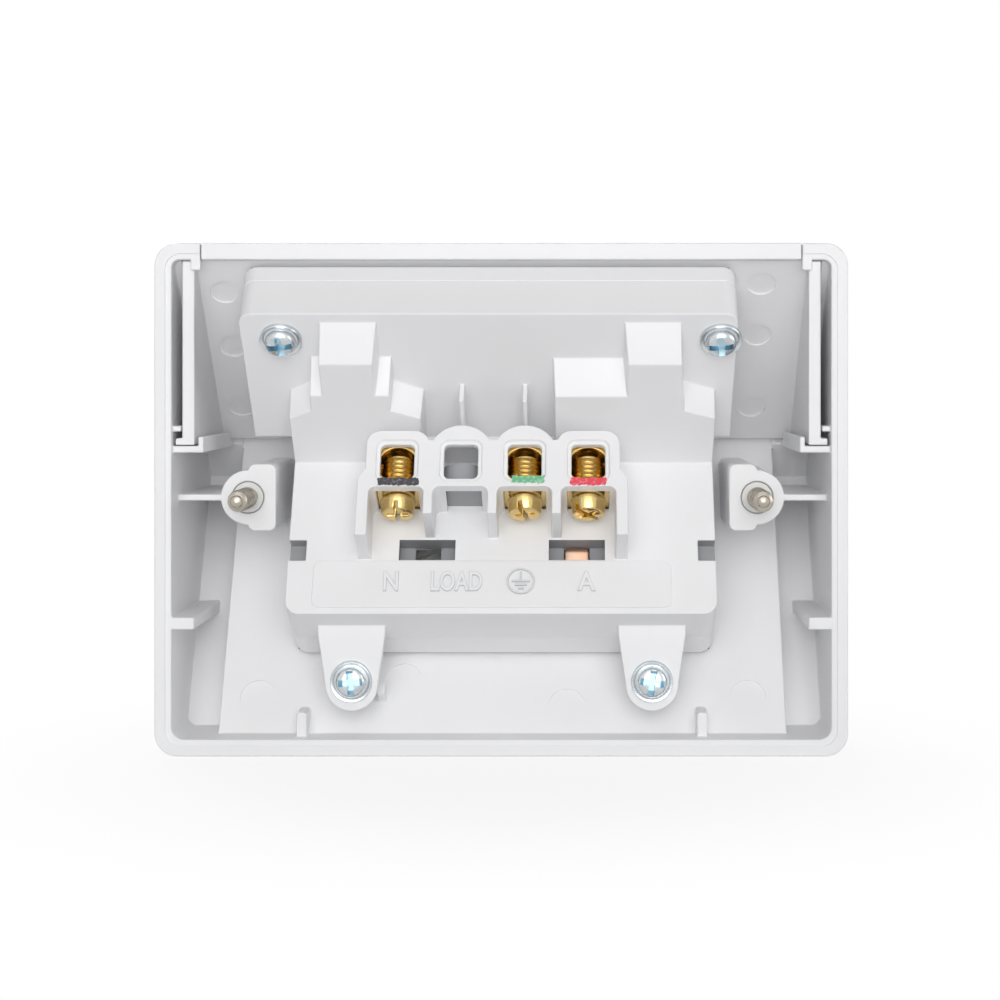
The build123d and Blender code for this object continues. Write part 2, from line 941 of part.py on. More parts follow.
right_tower_foot = [
    (19.9, -2.1),
    (29.0, -2.1),
    (29.6, -15.0),
    (body_half_width, -17.2),
    (body_half_width, tower_foot_end),
    (8.4, tower_foot_end),
    (8.4, -10.0),
    (19.9, -10.0),
]
right_tower_top = [
    (20.5, -7.2),
    (29.1, -7.2),
    (29.8, -17.6),
    (body_half_width, -19.4),
    (body_half_width, tower_top_end),
    (8.7, tower_top_end),
    (8.7, -14.4),
    (20.5, -14.4),
]
screw_level = rear_rise + terminal_screw_rise


def along_panel(right, up, rise):
    """Plane across the panel's upward direction, for the terminal screws."""
    place_y, place_z = panel_point(up, rise)
    return Plane(
        origin=(-right, place_y, place_z), x_dir=(-1, 0, 0), z_dir=(0, -panel_sine, panel_cosine)
    )


terminal_names = {0: "terminal_neutral", 2: "terminal_earth", 3: "terminal_active"}
terminal_places = [terminal_middle + (step - 1.5) * terminal_pitch for step in range(4)]
lobe_left = terminal_places[0] - lobe_half_width
lobe_right = terminal_places[3] + lobe_half_width
shroud_left = lobe_left - shroud_side_step
shroud_right = lobe_right + shroud_side_step

with BuildPart() as rear_cover:
    side_block(rear_outline, -body_half_width, body_half_width)
    side_block(
        [
            slope_point(upper_bottom, slope_parting),
            slope_point(upper_bottom, upper_rise),
            upper_edge(upper_rise),
            upper_edge(slope_parting),
        ],
        upper_left,
        upper_right,
    )
    round_corners(rear_cover, rear_rise * panel_sine)
    # Towers of the switches
    for foot, top in ((left_tower_foot, left_tower_top), (right_tower_foot, right_tower_top)):
        with BuildSketch(slope_plane(upper_rise)):
            Polygon(*foot)
        with BuildSketch(slope_plane(tower_rise)):
            Polygon(*top)
        loft()
    # Shroud of the terminals: wide foot, narrow top, two flat lobes and two round ones
    with BuildSketch(panel_plane(rear_rise - shroud_root)):
        Polygon(
            (shroud_left, shroud_foot),
            (shroud_right, shroud_foot),
            (shroud_right, shroud_step_foot),
            (lobe_right, shroud_step_top),
            (lobe_right, lobe_centre),
            (lobe_left, lobe_centre),
            (lobe_left, shroud_step_top),
            (shroud_left, shroud_step_foot),
        )
        with Locations((terminal_middle, (lobe_centre + lobe_valley) / 2)):
            Rectangle(3 * terminal_pitch, lobe_valley - lobe_centre)
        for terminal_x in terminal_places[1:3]:
            with Locations((terminal_x, lobe_centre)):
                Circle(lobe_radius)
        for terminal_x in (terminal_places[0], terminal_places[3]):
            with Locations((terminal_x, (shroud_step_top + lobe_flat_top) / 2)):
                RectangleRounded(2 * lobe_half_width, lobe_flat_top - shroud_step_top, lobe_corner_radius)
    extrude(amount=shroud_root + shroud_rise)
    # Ears of the lower screws
    for side in (-1, 1):
        ear_x = side * ear_spacing / 2
        with BuildSketch(wall_plane(ear_depth + ear_thickness)):
            with BuildLine():
                Polyline(
                    (ear_x - ear_root_width / 2, ear_top_height),
                    (ear_x - ear_root_width / 2, ear_shoulder_height),
                    (ear_x - ear_radius, ear_screw_height - 0.6),
                )
                ThreePointArc(
                    (ear_x - ear_radius, ear_screw_height - 0.6),
                    (ear_x, ear_screw_height - 0.6 - ear_radius),
                    (ear_x + ear_radius, ear_screw_height - 0.6),
                )
                Polyline(
                    (ear_x + ear_radius, ear_screw_height - 0.6),
                    (ear_x + ear_root_width / 2, ear_shoulder_height),
                    (ear_x + ear_root_width / 2, ear_top_height),
                    (ear_x - ear_root_width / 2, ear_top_height),
                )
            make_face()
        extrude(amount=ear_thickness)
    # Hollow inside
    side_block(rear_cavity, -cavity_half, cavity_half, Mode.SUBTRACT)
    for side in (-1, 1):
        level_block(
            slope_plane(upper_rise - body_wall - 1),
            side * switch_half - tower_cavity_half,
            side * switch_half + tower_cavity_half,
            -tower_cavity_end,
            -tower_cavity_top,
            tower_rise - upper_rise + 1,
            Mode.SUBTRACT,
        )
    # Wells, tunnels and pockets of the terminals
    for place, terminal_x in enumerate(terminal_places):
        well_half = (terminal_pitch - partition_thickness) / 2
        well_foot = shroud_foot - 1 - well_corner_radius
        with BuildSketch(panel_plane(rear_rise)):
            with Locations((terminal_x, (well_foot + well_top) / 2)):
                RectangleRounded(2 * well_half, well_top - well_foot, well_corner_radius)
        extrude(amount=shroud_rise + 1, mode=Mode.SUBTRACT)
        with BuildSketch(panel_plane(shroud_top + 1)):
            with Locations((terminal_x, (tunnel_foot + tunnel_top) / 2)):
                RectangleRounded(tunnel_width, tunnel_top - tunnel_foot, 0.9)
        extrude(amount=-shroud_rise, mode=Mode.SUBTRACT)
        with BuildSketch(panel_plane(shroud_top + 1)):
            with Locations((terminal_x, (tunnel_foot + tunnel_top) / 2)):
                RectangleRounded(tunnel_width + 1.3, tunnel_top - tunnel_foot + 1.3, 1.4)
        extrude(amount=-1.5, mode=Mode.SUBTRACT)
        # The pocket of a terminal goes through the wall, the free one ends on it
        taken = place in terminal_names
        pocket_floor = rear_rise - body_wall - 1 if taken else rear_rise
        level_block(
            panel_plane(pocket_floor),
            terminal_x - terminal_width / 2 - fit_clearance,
            terminal_x + terminal_width / 2 + fit_clearance,
            terminal_foot - fit_clearance,
            terminal_top + fit_clearance,
            shroud_top - shroud_skin - pocket_floor,
            Mode.SUBTRACT,
        )
        # Opening between well and pocket, with lips that hold the terminal
        opening_x = terminal_x if taken else terminal_x + free_opening_shift
        opening_half = (well_opening_width if taken else free_opening_width) / 2
        level_block(
            panel_plane(rear_rise),
            opening_x - opening_half,
            opening_x + opening_half,
            well_top - 1,
            terminal_foot,
            shroud_rise - shroud_skin - opening_drop,
            Mode.SUBTRACT,
        )
    # Partitions between the inner wells stop short
    level_block(
        panel_plane(rear_rise),
        terminal_places[0],
        terminal_places[3],
        shroud_foot - 1,
        partition_foot,
        shroud_rise + 1,
        Mode.SUBTRACT,
    )
    # Label plate
    with BuildSketch(panel_plane(rear_rise)):
        with Locations(((label_left + label_right) / 2, (label_foot + label_top) / 2)):
            RectangleRounded(label_right - label_left, label_top - label_foot, 1.4)
    extrude(amount=label_rise)
    for side in (-1, 1):
        # Windows in front of the contacts, and closed notches at the edges
        window_x = side * window_spacing / 2
        window_half = window_width / 2
        window_floor = rear_rise - window_depth
        level_block(
            panel_plane(window_floor - window_back),
            window_x - window_half - window_margin,
            window_x + window_half + window_margin,
            window_foot - window_margin,
            window_top + window_margin,
            window_depth + window_back - body_wall + 0.2,
        )
        level_block(
            panel_plane(window_floor),
            window_x - window_half,
            window_x + window_half,
            window_foot,
            window_top,
            window_depth + 2,
            Mode.SUBTRACT,
        )
        level_block(
            panel_plane(window_floor - 2),
            window_x - window_slot_width / 2,
            window_x + window_slot_width / 2,
            window_foot,
            window_top,
            4,
            Mode.SUBTRACT,
        )
        notch_inner = body_half_width - notch_width
        back_from, back_to = mirrored(side, notch_inner - notch_back, body_half_width - body_wall / 2)
        level_block(
            panel_plane(rear_rise - notch_depth - notch_back),
            back_from,
            back_to,
            window_foot - notch_back,
            window_top + notch_back,
            notch_depth + notch_back - body_wall / 2,
        )
        notch_from, notch_to = mirrored(side, notch_inner, body_half_width + 1)
        level_block(
            panel_plane(rear_rise - notch_depth),
            notch_from,
            notch_to,
            window_foot,
            window_top,
            notch_depth + 1,
            Mode.SUBTRACT,
        )
        # Holes of the screws
        level_cylinder(
            slope_plane(slope_parting - 1),
            side * upper_screw_spacing / 2,
            -upper_screw_down,
            hood_boss_radius + 0.3,
            1 + hood_boss_rise - slope_parting + 0.3,
            Mode.SUBTRACT,
        )
        level_cylinder(
            slope_plane(slope_parting),
            side * upper_screw_spacing / 2,
            -upper_screw_down,
            screw_core_radius + 0.2,
            20,
            Mode.SUBTRACT,
        )
        level_cylinder(
            wall_plane(-1),
            side * ear_spacing / 2,
            ear_screw_height,
            screw_core_radius + 0.2,
            -8,
            Mode.SUBTRACT,
        )
    # Thin fins above the two middle lobes
    for terminal_x in terminal_places[1:3]:
        level_block(
            slope_plane(upper_rise - 0.5),
            terminal_x - fin_thickness / 2,
            terminal_x + fin_thickness / 2,
            fin_end_gap - upper_bottom,
            fin_end_gap - upper_bottom + fin_length,
            fin_height,
        )
    # Membrane that closes the free place
    free_x = terminal_places[1]
    membrane_half = terminal_width / 2 + fit_clearance + membrane_root
    membrane_foot = terminal_foot - fit_clearance + membrane_set_back
    level_block(
        panel_plane(rear_rise - membrane_root),
        free_x - membrane_half,
        free_x + membrane_half,
        membrane_foot,
        membrane_foot + membrane_thickness,
        shroud_rise - shroud_skin + 2 * membrane_root,
    )
rear_cover.part.label = "rear_cover"
export_step(rear_cover.part, "parts/rear_cover.step")

# Gaskets
with BuildPart() as panel_gasket:
    gasket_half = body_half_width - 0.5
    gasket_top = ridge_up(gasket_thickness, gasket_thickness) - body_datum - 2.9
    level_block(panel_plane(0), -gasket_half, gasket_half, body_foot + 1, gasket_top, gasket_thickness)
    for side in (-1, 1):
        gap = 0.6
        level_block(
            panel_plane(-1),
            side * socket_half - socket_face_width / 2 - gap,
            side * socket_half + socket_face_width / 2 + gap,
            socket_height + socket_face_foot - gap,
            socket_height + socket_face_top + gap,
            3,
            Mode.SUBTRACT,
        )
panel_gasket.part.label = "panel_gasket"
export_step(panel_gasket.part, "parts/panel_gasket.step")

with BuildPart() as hood_gasket:
    level_block(
        slope_plane(0),
        upper_left + 1,
        upper_right - 1,
        -upper_bottom + 0.5,
        -upper_top - 1,
        gasket_thickness,
    )
    for side in (-1, 1):
        level_block(
            slope_plane(-1),
            side * switch_half - rocker_width / 2 - rocker_side_clearance,
            side * switch_half + rocker_width / 2 + rocker_side_clearance,
            -switch_down - rocker_half_length - rocker_end_clearance,
            -switch_down + rocker_half_length + rocker_end_clearance,
            3,
            Mode.SUBTRACT,
        )
        level_cylinder(
            slope_plane(-1),
            side * upper_screw_spacing / 2,
            -upper_screw_down,
            hood_boss_radius + 0.3,
            3,
            Mode.SUBTRACT,
        )
hood_gasket.part.label = "hood_gasket"
export_step(hood_gasket.part, "parts/hood_gasket.step")


# Terminals: neutral at the left as seen from behind, then a free place, earth and active
terminal_middle_up = (terminal_foot + terminal_top) / 2
for place, name in terminal_names.items():
    terminal_x = terminal_places[place]
    with BuildPart() as terminal:
        level_block(
            panel_plane(terminal_bottom),
            terminal_x - terminal_width / 2,
            terminal_x + terminal_width / 2,
            terminal_foot,
            terminal_top,
            shroud_top - shroud_skin - fit_clearance - terminal_bottom,
        )
        level_cylinder(
            panel_plane(shroud_top), terminal_x, terminal_middle_up, terminal_bore_radius, -8, Mode.SUBTRACT
        )
        with BuildSketch(along_panel(terminal_x, terminal_foot - 1, screw_level)):
            Circle(terminal_screw_radius + 0.08)
        extrude(amount=terminal_screw_end + 0.2 - terminal_foot + 1, mode=Mode.SUBTRACT)
    terminal.part.label = name
    export_step(terminal.part, "parts/" + name + ".step")

head_foot = well_top - 0.05 - terminal_head_length
with BuildPart() as terminal_screws:
    for place in terminal_names:
        terminal_x = terminal_places[place]
        with BuildSketch(along_panel(terminal_x, head_foot, screw_level)):
            Circle(terminal_head_radius)
        extrude(amount=terminal_head_length)
        with BuildSketch(along_panel(terminal_x, head_foot + terminal_head_length, screw_level)):
            Circle(terminal_screw_radius)
        extrude(amount=terminal_screw_end - head_foot - terminal_head_length)
        with BuildSketch(along_panel(terminal_x, head_foot, screw_level)):
            Rectangle(2 * terminal_head_radius, 0.9)
            Rectangle(0.9, 4.0)
        extrude(amount=1.1, mode=Mode.SUBTRACT)
terminal_screws.part.label = "terminal_screws"
export_step(terminal_screws.part, "parts/terminal_screws.step")


def contact_clip(x, y, turn, web_end, foot, top):
    """Spring clip round one pin: two leaves and a web at one end."""
    clip_width_all = contact_gap + 2 * contact_strip
    with BuildSketch(panel_plane(foot)) as outline:
        with Locations(Location((x, y, 0), (0, 0, turn))):
            with Locations((0, web_end * contact_strip / 2)):
                Rectangle(clip_width_all, contact_length + contact_strip)
            Rectangle(contact_gap, contact_length, mode=Mode.SUBTRACT)
            with Locations((0, -web_end * contact_length / 2)):
                Rectangle(contact_gap, 1.0, mode=Mode.SUBTRACT)
    extrude(outline.sketch, amount=top - foot)


web_across = (contact_length / 2 + contact_strip) * math.sin(math.radians(slot_angle))
web_along = (contact_length / 2 + contact_strip) * math.cos(math.radians(slot_angle))
neutral_left = -socket_half - pin_across
neutral_right = socket_half - pin_across
bar_top = contact_top_rise
bar_level = contact_top_rise - contact_strip

with BuildPart() as neutral_bar:
    bar_from = neutral_left - web_across - 1.4
    bar_to = neutral_right + 1.0
    level_block(
        panel_plane(bar_level),
        bar_from,
        bar_to,
        neutral_bar_height,
        neutral_bar_height + bar_width,
        contact_strip,
    )
    for contact_x in (neutral_left, neutral_right):
        contact_clip(contact_x, pin_up, -slot_angle, -1, contact_foot_rise, bar_top)
        web_x = contact_x - web_across
        level_block(
            panel_plane(bar_level),
            web_x - 1.2,
            web_x + 1.4,
            neutral_bar_height + bar_width - 0.2,
            pin_up - web_along + 0.6,
            contact_strip,
        )
    # Tongue and post to the terminal, clear of the active pin
    tongue_from = terminal_places[0] - terminal_width / 2
    level_block(
        panel_plane(bar_level),
        tongue_from,
        tongue_from + 2.4,
        neutral_bar_height + bar_width - 0.2,
        terminal_middle_up,
        contact_strip,
    )
    level_block(
        panel_plane(bar_level),
        tongue_from,
        tongue_from + 2.4,
        terminal_middle_up - 2,
        terminal_middle_up,
        terminal_bottom - bar_level,
    )
    # Finger seen through the window
    finger_x = window_spacing / 2
    finger_half = window_slot_width / 2 - fit_clearance
    level_block(
        panel_plane(bar_level),
        finger_x - finger_half,
        finger_x + finger_half,
        window_foot + 0.4,
        neutral_bar_height + 0.2,
        contact_strip,
    )
    level_block(
        panel_plane(bar_level),
        finger_x - finger_half,
        finger_x + finger_half,
        window_foot + 0.4,
        window_foot + 0.4 + contact_strip,
        rear_rise - window_depth + 0.6 - bar_level,
    )
neutral_bar.part.label = "neutral_bar"
export_step(neutral_bar.part, "parts/neutral_bar.step")

earth_up = socket_height - pin_radius_earth
earth_web_foot = earth_up - contact_length / 2 - contact_strip
with BuildPart() as earth_bar:
    level_block(
        panel_plane(contact_foot_rise),
        -socket_half,
        socket_half,
        earth_web_foot,
        earth_web_foot + contact_strip,
        earth_web_height,
    )
    for side in (-1, 1):
        contact_clip(side * socket_half, earth_up, 0, -1, contact_foot_rise, bar_top)
    tongue_x = terminal_places[2]
    level_block(
        panel_plane(contact_foot_rise),
        tongue_x - bar_width / 2,
        tongue_x + bar_width / 2,
        earth_web_foot,
        terminal_middle_up + 1.5,
        contact_strip,
    )
    level_block(
        panel_plane(contact_foot_rise),
        tongue_x - bar_width / 2,
        tongue_x + bar_width / 2,
        terminal_middle_up + 0.5,
        terminal_middle_up + 1.5,
        terminal_bottom - contact_foot_rise,
    )
earth_bar.part.label = "earth_bar"
export_step(earth_bar.part, "parts/earth_bar.step")

strip_rise = 12.8
knife_top = arm_pivot_rise + arm_bead_radius + knife_gap
strip_end = ridge_down(active_bar_rise, strip_rise) - strip_end_gap
with BuildPart() as active_bar:
    level_block(
        panel_plane(active_bar_rise),
        -switch_half - 1.5,
        switch_half + 1.5,
        active_bar_height,
        active_bar_height + 2.4,
        contact_strip,
    )
    active_x = terminal_places[3]
    level_block(
        panel_plane(active_bar_rise),
        active_x - 2.4,
        active_x + 2.4,
        terminal_foot + 1,
        active_bar_height + 1,
        contact_strip,
    )
    for side in (-1, 1):
        strip_from = side * switch_half - bar_width / 2
        strip_to = side * switch_half + bar_width / 2
        side_block(
            [
                panel_point(active_bar_height, active_bar_rise + 0.1),
                panel_point(active_bar_height + 1.6, active_bar_rise + 0.1),
                slope_point(strip_end, strip_rise),
                slope_point(strip_end, strip_rise + contact_strip),
                slope_point(strip_end + 1, strip_rise + contact_strip),
            ],
            strip_from,
            strip_to,
        )
        level_block(
            slope_plane(strip_rise),
            strip_from,
            strip_to,
            -strip_end - 0.2,
            -switch_down + 0.4,
            contact_strip,
        )
        level_block(
            slope_plane(knife_top),
            strip_from,
            strip_to,
            -switch_down - 0.4,
            -switch_down + 0.4,
            strip_rise + 0.2 - knife_top,
        )
active_bar.part.label = "active_bar"
export_step(active_bar.part, "parts/active_bar.step")

# Switched contacts: from the switch to the active pin of each socket
feed_level = 5.0
pad_level = 11.5
pad_far = switch_down - 7.4
pad_near = switch_down - 3.3
for side, name in ((-1, "right"), (1, "left")):
    switch_x = side * switch_half
    contact_x = side * socket_half + pin_across
    feed_from = switch_x + 3.4
    feed_to = switch_x + 5.4
    with BuildPart() as switched_contact:
        contact_clip(contact_x, pin_up, slot_angle, 1, contact_foot_rise, bar_top - 1)
        web_x = contact_x - web_across
        plate_from = min(web_x - 1.4, feed_from)
        plate_to = max(web_x + 1.4, feed_to)
        plate_foot = pin_up + web_along - 0.6
        plate_top = plate_foot + 3.0
        level_block(
            panel_plane(contact_foot_rise), plate_from, plate_to, plate_foot, plate_top, contact_strip
        )
        # Lower strip to the ridge, then up the slope
        ridge_low = ridge_point(contact_foot_rise, feed_level)
        ridge_high = ridge_point(contact_foot_rise + contact_strip, feed_level + contact_strip)
        side_block(
            [
                panel_point(plate_foot + 1, contact_foot_rise),
                ridge_low,
                slope_point(pad_far, feed_level),
                slope_point(pad_far, feed_level + contact_strip),
                ridge_high,
                panel_point(plate_foot + 1, contact_foot_rise + contact_strip),
            ],
            feed_from,
            feed_to,
        )
        level_block(
            slope_plane(feed_level), switch_x - 2, feed_to, -pad_far - contact_strip, -pad_far, 2.4
        )
        level_block(
            slope_plane(feed_level),
            switch_x - 2,
            switch_x + 2,
            -pad_far - contact_strip,
            -pad_far,
            pad_level + contact_strip - feed_level,
        )
        level_block(slope_plane(pad_level), switch_x - 2, switch_x + 2, -pad_near, -pad_far, contact_strip)
    switched_contact.part.label = "switched_contact_" + name
    export_step(switched_contact.part, "parts/switched_contact_" + name + ".step")


def turned_point(along, rise, pivot_rise, tilt):
    """Side-view point of a piece that is tilted about a switch pivot."""
    sine = math.sin(math.radians(tilt))
    cosine = math.cos(math.radians(tilt))
    down = switch_down + along * cosine - rise * sine
    level = pivot_rise + along * sine + rise * cosine
    return slope_point(down, level)


def rocker_outline(points):
    """Points of the rocker at rest, with its upper end pressed in."""
    return [turned_point(along, rise, rocker_pivot_rise, -rocker_rest_tilt) for along, rise in points]


for side, name in ((-1, "right"), (1, "left")):
    switch_x = side * switch_half
    rocker_from = switch_x - rocker_width / 2
    rocker_to = switch_x + rocker_width / 2
    stem_half = rocker_stem / 2
    pivot_y, pivot_z = slope_point(switch_down, rocker_pivot_rise)
    stem_tilt = math.radians(slope_angle + rocker_rest_tilt)
    stem_normal = (0, math.cos(stem_tilt), -math.sin(stem_tilt))
    stem_plane = Plane(origin=(-switch_x, pivot_y, pivot_z), x_dir=(-1, 0, 0), z_dir=stem_normal)
    with BuildPart() as rocker:
        side_block(
            rocker_outline(
                [
                    (-rocker_half_length, -rocker_under_rise),
                    (-rocker_half_length, -rocker_end_rise),
                    (0, -rocker_middle_rise),
                    (rocker_half_length, -rocker_end_rise),
                    (rocker_half_length, -rocker_under_rise),
                ]
            ),
            rocker_from,
            rocker_to,
        )
        side_block(
            rocker_outline(
                [
                    (-2.4, -rocker_under_rise - 0.5),
                    (2.4, -rocker_under_rise - 0.5),
                    (1.6, 1.2),
                    (-1.6, 1.2),
                ]
            ),
            rocker_from,
            rocker_to,
        )
        side_block(
            rocker_outline(
                [
                    (-stem_half, 0),
                    (stem_half, 0),
                    (stem_half, rocker_stem_rise),
                    (-stem_half, rocker_stem_rise),
                ]
            ),
            switch_x - stem_half,
            switch_x + stem_half,
        )
        with BuildSketch(side_plane(rocker_to + rocker_pin_reach)):
            with Locations((pivot_y, pivot_z)):
                Circle(rocker_pin_radius)
        extrude(amount=rocker_width + 2 * rocker_pin_reach)
        with BuildSketch(stem_plane.offset(rocker_stem_rise)):
            Circle(plunger_radius + 0.1)
        extrude(amount=-plunger_length, mode=Mode.SUBTRACT)
    rocker.part.label = "rocker_" + name
    export_step(rocker.part, "parts/rocker_" + name + ".step")

    with BuildPart() as plunger:
        with BuildSketch(stem_plane.offset(plunger_tip_rise)):
            Circle(plunger_radius)
        extrude(amount=-plunger_length)
        tip = plunger.faces().sort_by(Axis((0, 0, 0), stem_normal))[-1]
        chamfer(tip.edges(), plunger_radius * 0.5)
    plunger.part.label = "plunger_" + name
    export_step(plunger.part, "parts/plunger_" + name + ".step")

    arm_half = arm_length / 2
    with BuildPart() as contact_arm:
        side_block(
            [
                turned_point(-arm_half, 0, arm_pivot_rise, arm_rest_tilt),
                turned_point(-arm_half, -arm_thickness, arm_pivot_rise, arm_rest_tilt),
                turned_point(arm_half, -arm_thickness, arm_pivot_rise, arm_rest_tilt),
                turned_point(arm_half, 0, arm_pivot_rise, arm_rest_tilt),
            ],
            switch_x - arm_width / 2,
            switch_x + arm_width / 2,
        )
        side_block(
            [
                turned_point(-arm_half + 0.4, -0.1, arm_pivot_rise, arm_rest_tilt),
                turned_point(-arm_half + 2.4, -0.1, arm_pivot_rise, arm_rest_tilt),
                turned_point(-arm_half + 2.4, 0.5, arm_pivot_rise, arm_rest_tilt),
                turned_point(-arm_half + 0.4, 0.5, arm_pivot_rise, arm_rest_tilt),
            ],
            switch_x - 1.2,
            switch_x + 1.2,
        )
        # Rounded bead that rocks under the knife edge
        bead_y, bead_z = slope_point(switch_down, arm_pivot_rise)
        with BuildSketch(side_plane(switch_x + arm_width / 2)):
            with Locations((bead_y, bead_z)):
                Circle(arm_bead_radius)
        extrude(amount=arm_width)
    contact_arm.part.label = "contact_arm_" + name
    export_step(contact_arm.part, "parts/contact_arm_" + name + ".step")

# Flaps with seals and pins
flap_outer_rise = cheek_rise - flap_proud
flap_start = flap_foot - body_datum
flap_inner_rise = flap_outer_rise + flap_plate_thickness
flap_rim_rise = -panel_thickness - flap_skirt_gap
for side, name in ((-1, "right"), (1, "left")):
    flap_middle = side * flap_spacing / 2
    flap_from = flap_middle - flap_width / 2
    flap_to = flap_middle + flap_width / 2
    with BuildPart() as flap:
        level_block(
            panel_plane(flap_outer_rise),
            flap_from,
            flap_to,
            flap_start,
            flap_top,
            flap_rim_rise - flap_outer_rise,
        )
        rim_edges = flap.edges().filter_by(Axis((0, 0, 0), (0, panel_cosine, panel_sine)))
        fillet(rim_edges, 1.5)
        level_block(
            panel_plane(flap_inner_rise),
            flap_from + flap_skirt_thickness,
            flap_to - flap_skirt_thickness,
            flap_start + flap_skirt_thickness,
            flap_top - flap_skirt_thickness,
            20,
            Mode.SUBTRACT,
        )
        with BuildSketch(side_plane(flap_to)):
            with Locations((hinge_y, hinge_z)):
                Circle(hinge_knuckle_radius)
        extrude(amount=flap_width)
        side_block(
            [
                panel_point(flap_top - 1.2, hinge_rise - 2.3),
                panel_point(hinge_height, hinge_rise - 2.3),
                panel_point(hinge_height, hinge_rise + 1.6),
                panel_point(flap_top - 1.2, hinge_rise + 1.6),
            ],
            flap_from,
            flap_to,
        )
        # Finger lip at the lower edge
        level_block(
            panel_plane(flap_outer_rise),
            flap_middle - finger_half_width,
            flap_middle + finger_half_width,
            flap_start - finger_reach,
            flap_start + 0.5,
            finger_thickness,
        )
        with BuildSketch(side_plane(flap_to + 1)):
            with Locations((hinge_y, hinge_z)):
                Circle(hinge_pin_radius + hinge_running_clearance)
        extrude(amount=flap_width + 2, mode=Mode.SUBTRACT)
    flap.part.label = "flap_" + name
    export_step(flap.part, "parts/flap_" + name + ".step")

    with BuildPart() as flap_seal:
        seal_top = flap_top - 1.6
        seal_height = -panel_thickness - 0.1 - flap_rim_rise
        level_block(
            panel_plane(flap_rim_rise),
            flap_from + seal_inset,
            flap_to - seal_inset,
            flap_start + seal_inset,
            seal_top,
            seal_height,
        )
        level_block(
            panel_plane(flap_rim_rise - 1),
            flap_from + flap_skirt_thickness,
            flap_to - flap_skirt_thickness,
            flap_start + flap_skirt_thickness,
            seal_top - flap_skirt_thickness,
            4,
            Mode.SUBTRACT,
        )
    flap_seal.part.label = "flap_seal_" + name
    export_step(flap_seal.part, "parts/flap_seal_" + name + ".step")

with BuildPart() as flap_pins:
    for side in (-1, 1):
        pin_from, pin_to = mirrored(side, 0.6, pin_end - 0.2)
        with BuildSketch(side_plane(pin_to)):
            with Locations((hinge_y, hinge_z)):
                Circle(hinge_pin_radius)
        extrude(amount=pin_to - pin_from)
flap_pins.part.label = "flap_pins"
export_step(flap_pins.part, "parts/flap_pins.step")

# Screws that hold the mechanism
with BuildPart() as upper_screws:
    for side in (-1, 1):
        screw_x = side * upper_screw_spacing / 2
        level_cylinder(
            slope_plane(upper_rise), screw_x, -upper_screw_down, screw_flange_radius, screw_flange_thickness
        )
        level_cylinder(
            slope_plane(upper_rise),
            screw_x,
            -upper_screw_down,
            screw_head_radius,
            screw_flange_thickness + screw_head_thickness,
        )
        level_cylinder(
            slope_plane(upper_rise), screw_x, -upper_screw_down, screw_core_radius, screw_tip_gap - upper_rise
        )
upper_screws.part.label = "upper_screws"
export_step(upper_screws.part, "parts/upper_screws.step")

with BuildPart() as lower_screws:
    for side in (-1, 1):
        screw_x = side * ear_spacing / 2
        level_cylinder(
            wall_plane(ear_depth), screw_x, ear_screw_height, screw_flange_radius, screw_flange_thickness
        )
        level_cylinder(
            wall_plane(ear_depth),
            screw_x,
            ear_screw_height,
            screw_head_radius,
            screw_flange_thickness + screw_head_thickness,
        )
        level_cylinder(
            wall_plane(ear_depth), screw_x, ear_screw_height, screw_core_radius, -ear_thickness - 5.0
        )
lower_screws.part.label = "lower_screws"
export_step(lower_screws.part, "parts/lower_screws.step")

# Wall screws with their retaining rings
ring_depth = boss_near_depth + fit_clearance
with BuildPart() as mounting_screws:
    for side in (-1, 1):
        screw_x = side * mount_half
        level_cylinder(wall_plane(screw_seat_depth), screw_x, 0, mount_head_radius, -mount_head_thickness)
        level_cylinder(
            wall_plane(screw_seat_depth),
            screw_x,
            0,
            mount_shank_radius,
            screw_seat_depth - ring_depth + shank_run_out,
        )
        level_cylinder(
            wall_plane(ring_depth - 0.2), screw_x, 0, mount_screw_radius, ring_depth - 0.2 + mount_tip_reach
        )
        level_cylinder(
            wall_plane(-mount_tip_reach), screw_x, 0, mount_dog_radius, mount_dog_length
        )
        level_block(
            wall_plane(screw_seat_depth + mount_head_thickness),
            screw_x - mount_head_radius,
            screw_x + mount_head_radius,
            -0.5,
            0.5,
            1.2,
            Mode.SUBTRACT,
        )
mounting_screws.part.label = "mounting_screws"
export_step(mounting_screws.part, "parts/mounting_screws.step")

with BuildPart() as screw_retainers:
    for side in (-1, 1):
        screw_x = side * mount_half
        level_cylinder(wall_plane(ring_depth), screw_x, 0, retainer_radius, -retainer_thickness)
        level_cylinder(wall_plane(0), screw_x, 0, mount_shank_radius + 0.1, -20, Mode.SUBTRACT)
screw_retainers.part.label = "screw_retainers"
export_step(screw_retainers.part, "parts/screw_retainers.step")
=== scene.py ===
"""Looks of a weatherproof double power outlet, seen from behind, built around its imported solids."""

import logging
import math
from abc import ABC, abstractmethod
from collections.abc import Callable, Sequence
from dataclasses import dataclass
from enum import Enum

import bpy
from mathutils import Matrix, Vector


